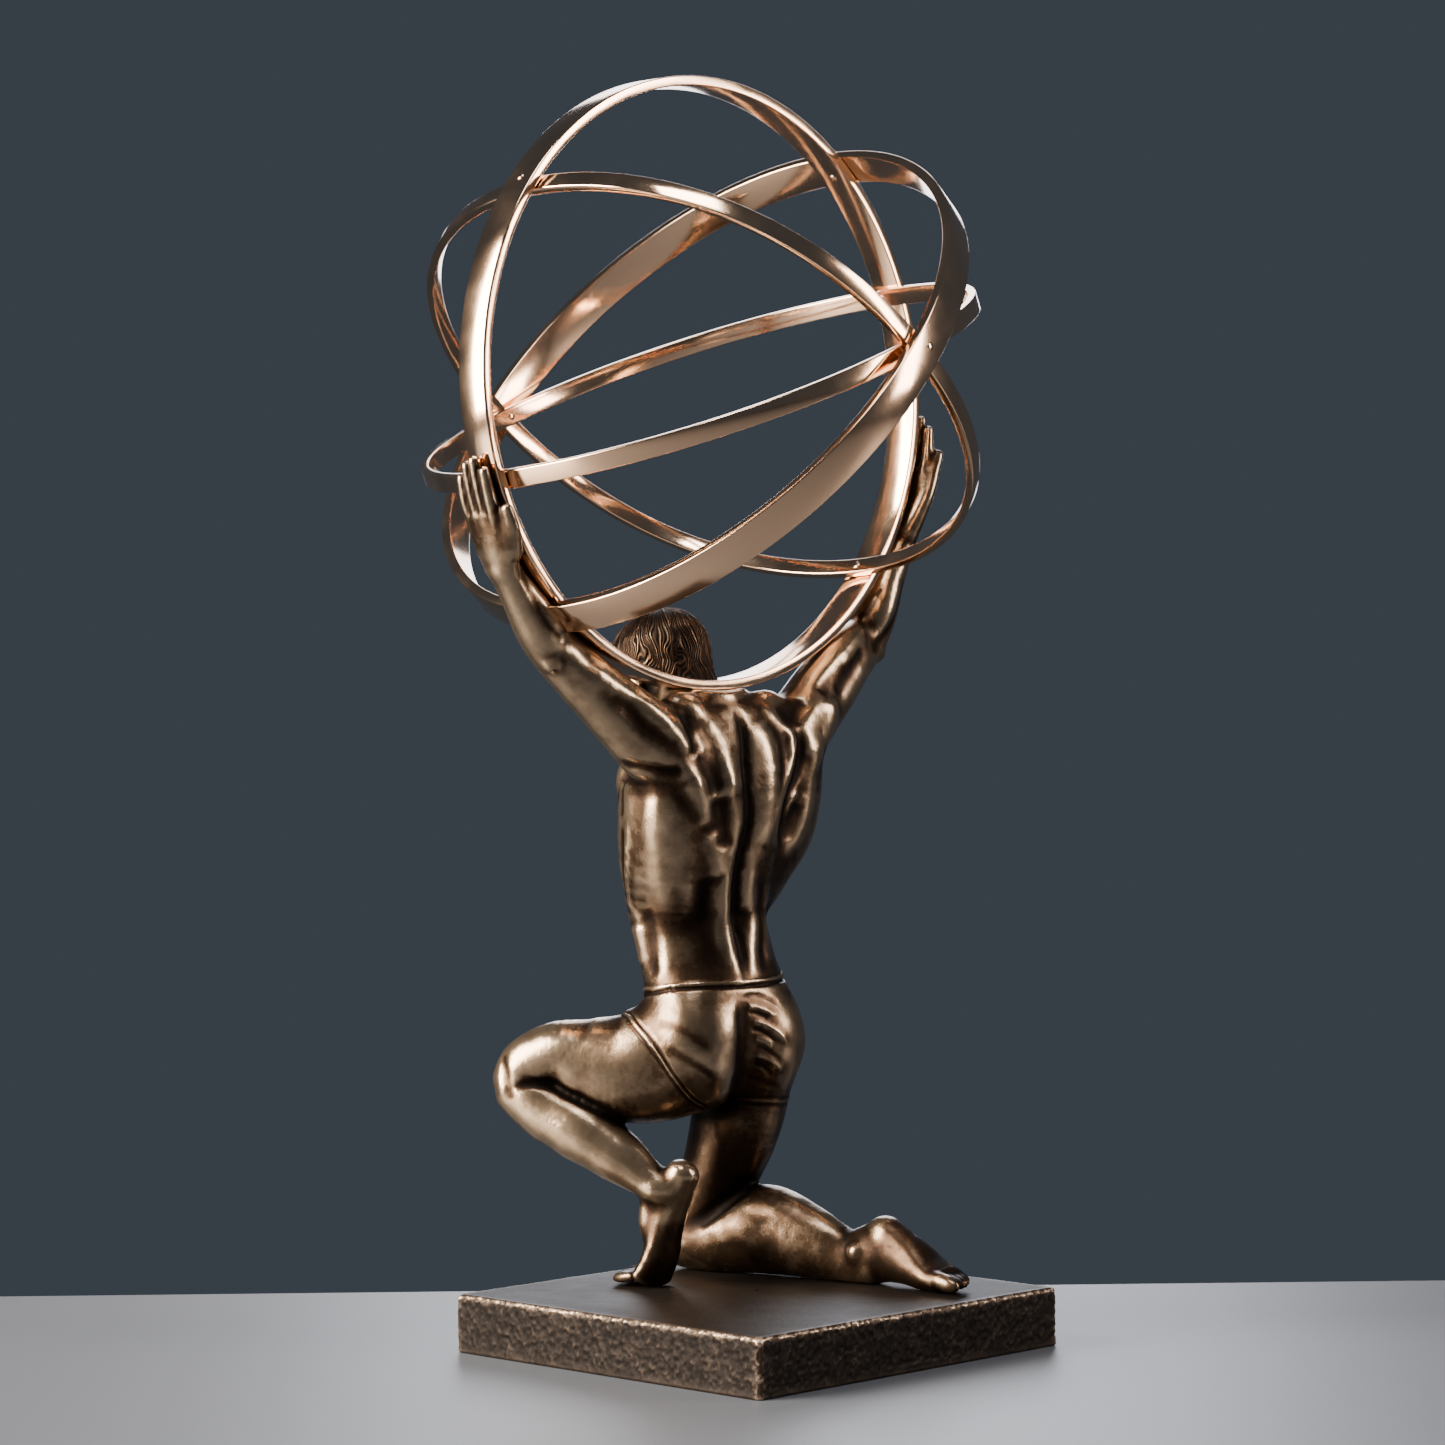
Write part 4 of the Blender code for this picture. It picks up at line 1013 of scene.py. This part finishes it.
def buildHair():
    rows, columns = hair["rows"], hair["strands"] * hair["columns"]
    turn = np.linspace(0, 2 * math.pi, columns, endpoint=False)[None, :]
    share = np.linspace(0.012, 1, rows)[:, None]
    # the hairline, as an angle down from the crown: lowest at the nape, highest at the forehead
    back = 0.5 + 0.5 * np.cos(turn)
    size = hair["locks"]
    aroundHead = np.stack([np.cos(turn[0]) * size, np.sin(turn[0]) * size, 0 * turn[0]], axis=1)
    locks = softNoise(aroundHead, 21) + 0.5 * softNoise(aroundHead * 2.7, 22)
    hairline = np.radians(73 + 43 * back ** 1.3 + 10 * np.sin(turn) ** 2 + 3.4 * locks)
    drop = share * hairline
    crown = unitRows(np.array(hair["crown"]))
    side = np.array((1.0, 0, 0))
    rear = np.cross(side, crown) * -1
    rear = rear if rear[1] > 0 else -rear
    outward = (np.cos(drop)[..., None] * crown + np.sin(drop)[..., None]
               * (np.cos(turn)[..., None] * rear + np.sin(turn)[..., None] * side)).reshape(-1, 3)
    outward = outward @ headTurn.T
    middle = np.array(inHead(hair["middle"]))
    reach = np.full(len(outward), 17.0)
    for _ in range(12):
        reach = reach - 0.9 * groupField(middle + outward * reach[:, None], skull + neck)
    skin = middle + outward * reach[:, None]
    turns = np.broadcast_to(turn, (rows, columns)).ravel()
    shares = np.broadcast_to(share, (rows, columns)).ravel()
    at = np.stack([np.cos(turns) * 2.2, np.sin(turns) * 2.2, shares * 2.6], axis=1)
    wave = (0.04 * np.sin(shares * 17 + 5 * softNoise(at, 11)) + 0.20 * softNoise(at * 1.6, 12)
            + 0.07 * softNoise(at * 4.2, 15)) * shares
    strand = (turns + wave) * hair["strands"] / (2 * math.pi)
    number = np.floor(strand)
    ridge = np.sin(math.pi * (strand - number)) ** 0.7
    each = softNoise(np.stack([np.mod(number, hair["strands"]) * 7.31, shares * 3.5, 0 * shares], axis=1), 13)
    waved = np.stack([np.cos(turns + wave) * 3.4, np.sin(turns + wave) * 3.4, shares * 1.2], axis=1)
    lock = softNoise(waved, 14)
    relief = hair["relief"] * (ridge * (0.75 + 0.35 * each) + 0.55 * lock)
    edge = np.clip((1 - shares) * 6, 0, 1) ** 0.8
    start = np.clip(shares * 9, 0, 1)
    lift = (hair["thick"] + relief * start) * edge - 0.7 * (1 - edge)
    points = skin + outward * lift[:, None]
    tip = (middle + (np.array(hair["crown"]) @ headTurn.T) * (reach[:columns].mean() + lift[:columns].mean()))
    points = np.concatenate([points, tip[None]])
    j = np.arange(columns)
    fan = np.stack([np.full(columns, len(points) - 1), (j + 1) % columns, j], axis=1)
    quads = gridFaces(rows, columns)
    triangles = np.concatenate([quads[:, [0, 1, 2]], quads[:, [0, 2, 3]], fan])
    normals = pointNormals(points, triangles)
    if (normals[:-1] * outward).sum() < 0:
        triangles = triangles[:, ::-1]
    deep = np.append((1 - ridge) * 0.8 + 0.18 + 0.2 * (1 - edge), 0.3)
    high = np.append(np.clip(ridge ** 5 * (0.16 + 0.3 * each), 0, 1), 0.1)
    placed = points * mm + np.array([0, 0, base * mm])
    makePiece("figure_hair", placed, triangles, "figure", bronze,
              {"stain_and_shade": np.clip(deep, 0, 1), "crest": np.clip(high, 0, 1)})


buildHair()
print("hair made")


# Floor, light and camera
studio = {
    "floor": "#54575d", "farEdge": -0.105, "reach": 1.6, "backdrop": "#434a53", "backdropPower": 0.8,
    "lights": [
        # name, place, aim, width, height, power, colour
        ("left softbox", (0.96, -0.50, 0.56), (0, 0, 0.22), 0.70, 0.96, 82.0, "#fff4e6"),
        ("right softbox", (-0.72, 0.90, 0.60), (0, 0, 0.22), 0.26, 0.80, 11.0, "#fff3ea"),
        ("top softbox", (0.35, 0.25, 1.20), (0, 0, 0.16), 0.40, 0.36, 7.0, "#ffffff"),
        ("back softbox", (-0.80, -0.75, 0.60), (0, 0, 0.22), 0.50, 0.80, 7.0, "#f2f5ff"),
    ],
}


def aimMatrix(place, aim, roll=0.0):
    turn = (Vector(aim) - Vector(place)).to_track_quat("-Z", "Y").to_matrix().to_4x4()
    return Matrix.Translation(Vector(place)) @ turn @ Matrix.Rotation(math.radians(roll), 4, "Z")


def buildStudio():
    mesh = bpy.data.meshes.new("floor")
    # a table whose far edge lies just behind the plinth, square to the line of sight
    ahead, across = np.array([0.71, 0.704, 0]), np.array([-0.704, 0.71, 0])
    far, reach = studio["farEdge"], studio["reach"]
    corners = [ahead * out + across * beside
               for out, beside in ((far, -reach), (reach, -reach), (reach, reach), (far, reach))]
    mesh.from_pydata([tuple(corner) for corner in corners], [], [(0, 1, 2, 3)])
    floor = bpy.data.objects.new("floor", mesh)
    material, tree, shader = newMaterial("matt studio card")
    shader.inputs["Base Color"].default_value = hexColour(studio["floor"])
    shader.inputs["Roughness"].default_value = 0.45
    mesh.materials.append(material)
    bpy.context.scene.collection.objects.link(floor)
    world = bpy.data.worlds.new("studio")
    world.use_nodes = True
    shade = world.node_tree.nodes["Background"]
    shade.inputs["Color"].default_value = hexColour(studio["backdrop"])
    shade.inputs["Strength"].default_value = studio["backdropPower"]
    bpy.context.scene.world = world
    for name, place, aim, width, height, power, colour in studio["lights"]:
        lamp = bpy.data.lights.new(name, "AREA")
        lamp.shape, lamp.size, lamp.size_y, lamp.energy = "RECTANGLE", width, height, power
        lamp.color = hexColour(colour)[:3]
        holder = bpy.data.objects.new(name, lamp)
        holder.matrix_world = aimMatrix(place, aim)
        bpy.context.scene.collection.objects.link(holder)


view = {
    "place": (0.75116, 0.74388, 0.17209), "aim": (0.005078, -0.004767, 0.160330),       # m
    "roll": -0.69, "lens": 103.13,      # degrees, mm
}


def buildCamera():
    data = bpy.data.cameras.new("photo view")
    data.lens, data.sensor_width, data.sensor_fit = view["lens"], 36.0, "HORIZONTAL"
    data.clip_start, data.clip_end = 0.05, 50.0
    camera = bpy.data.objects.new("photo view", data)
    camera.matrix_world = aimMatrix(view["place"], view["aim"], view["roll"])
    bpy.context.scene.collection.objects.link(camera)
    bpy.context.scene.camera = camera


buildStudio()
buildCamera()
print("studio made")

bpy.context.view_layer.update()
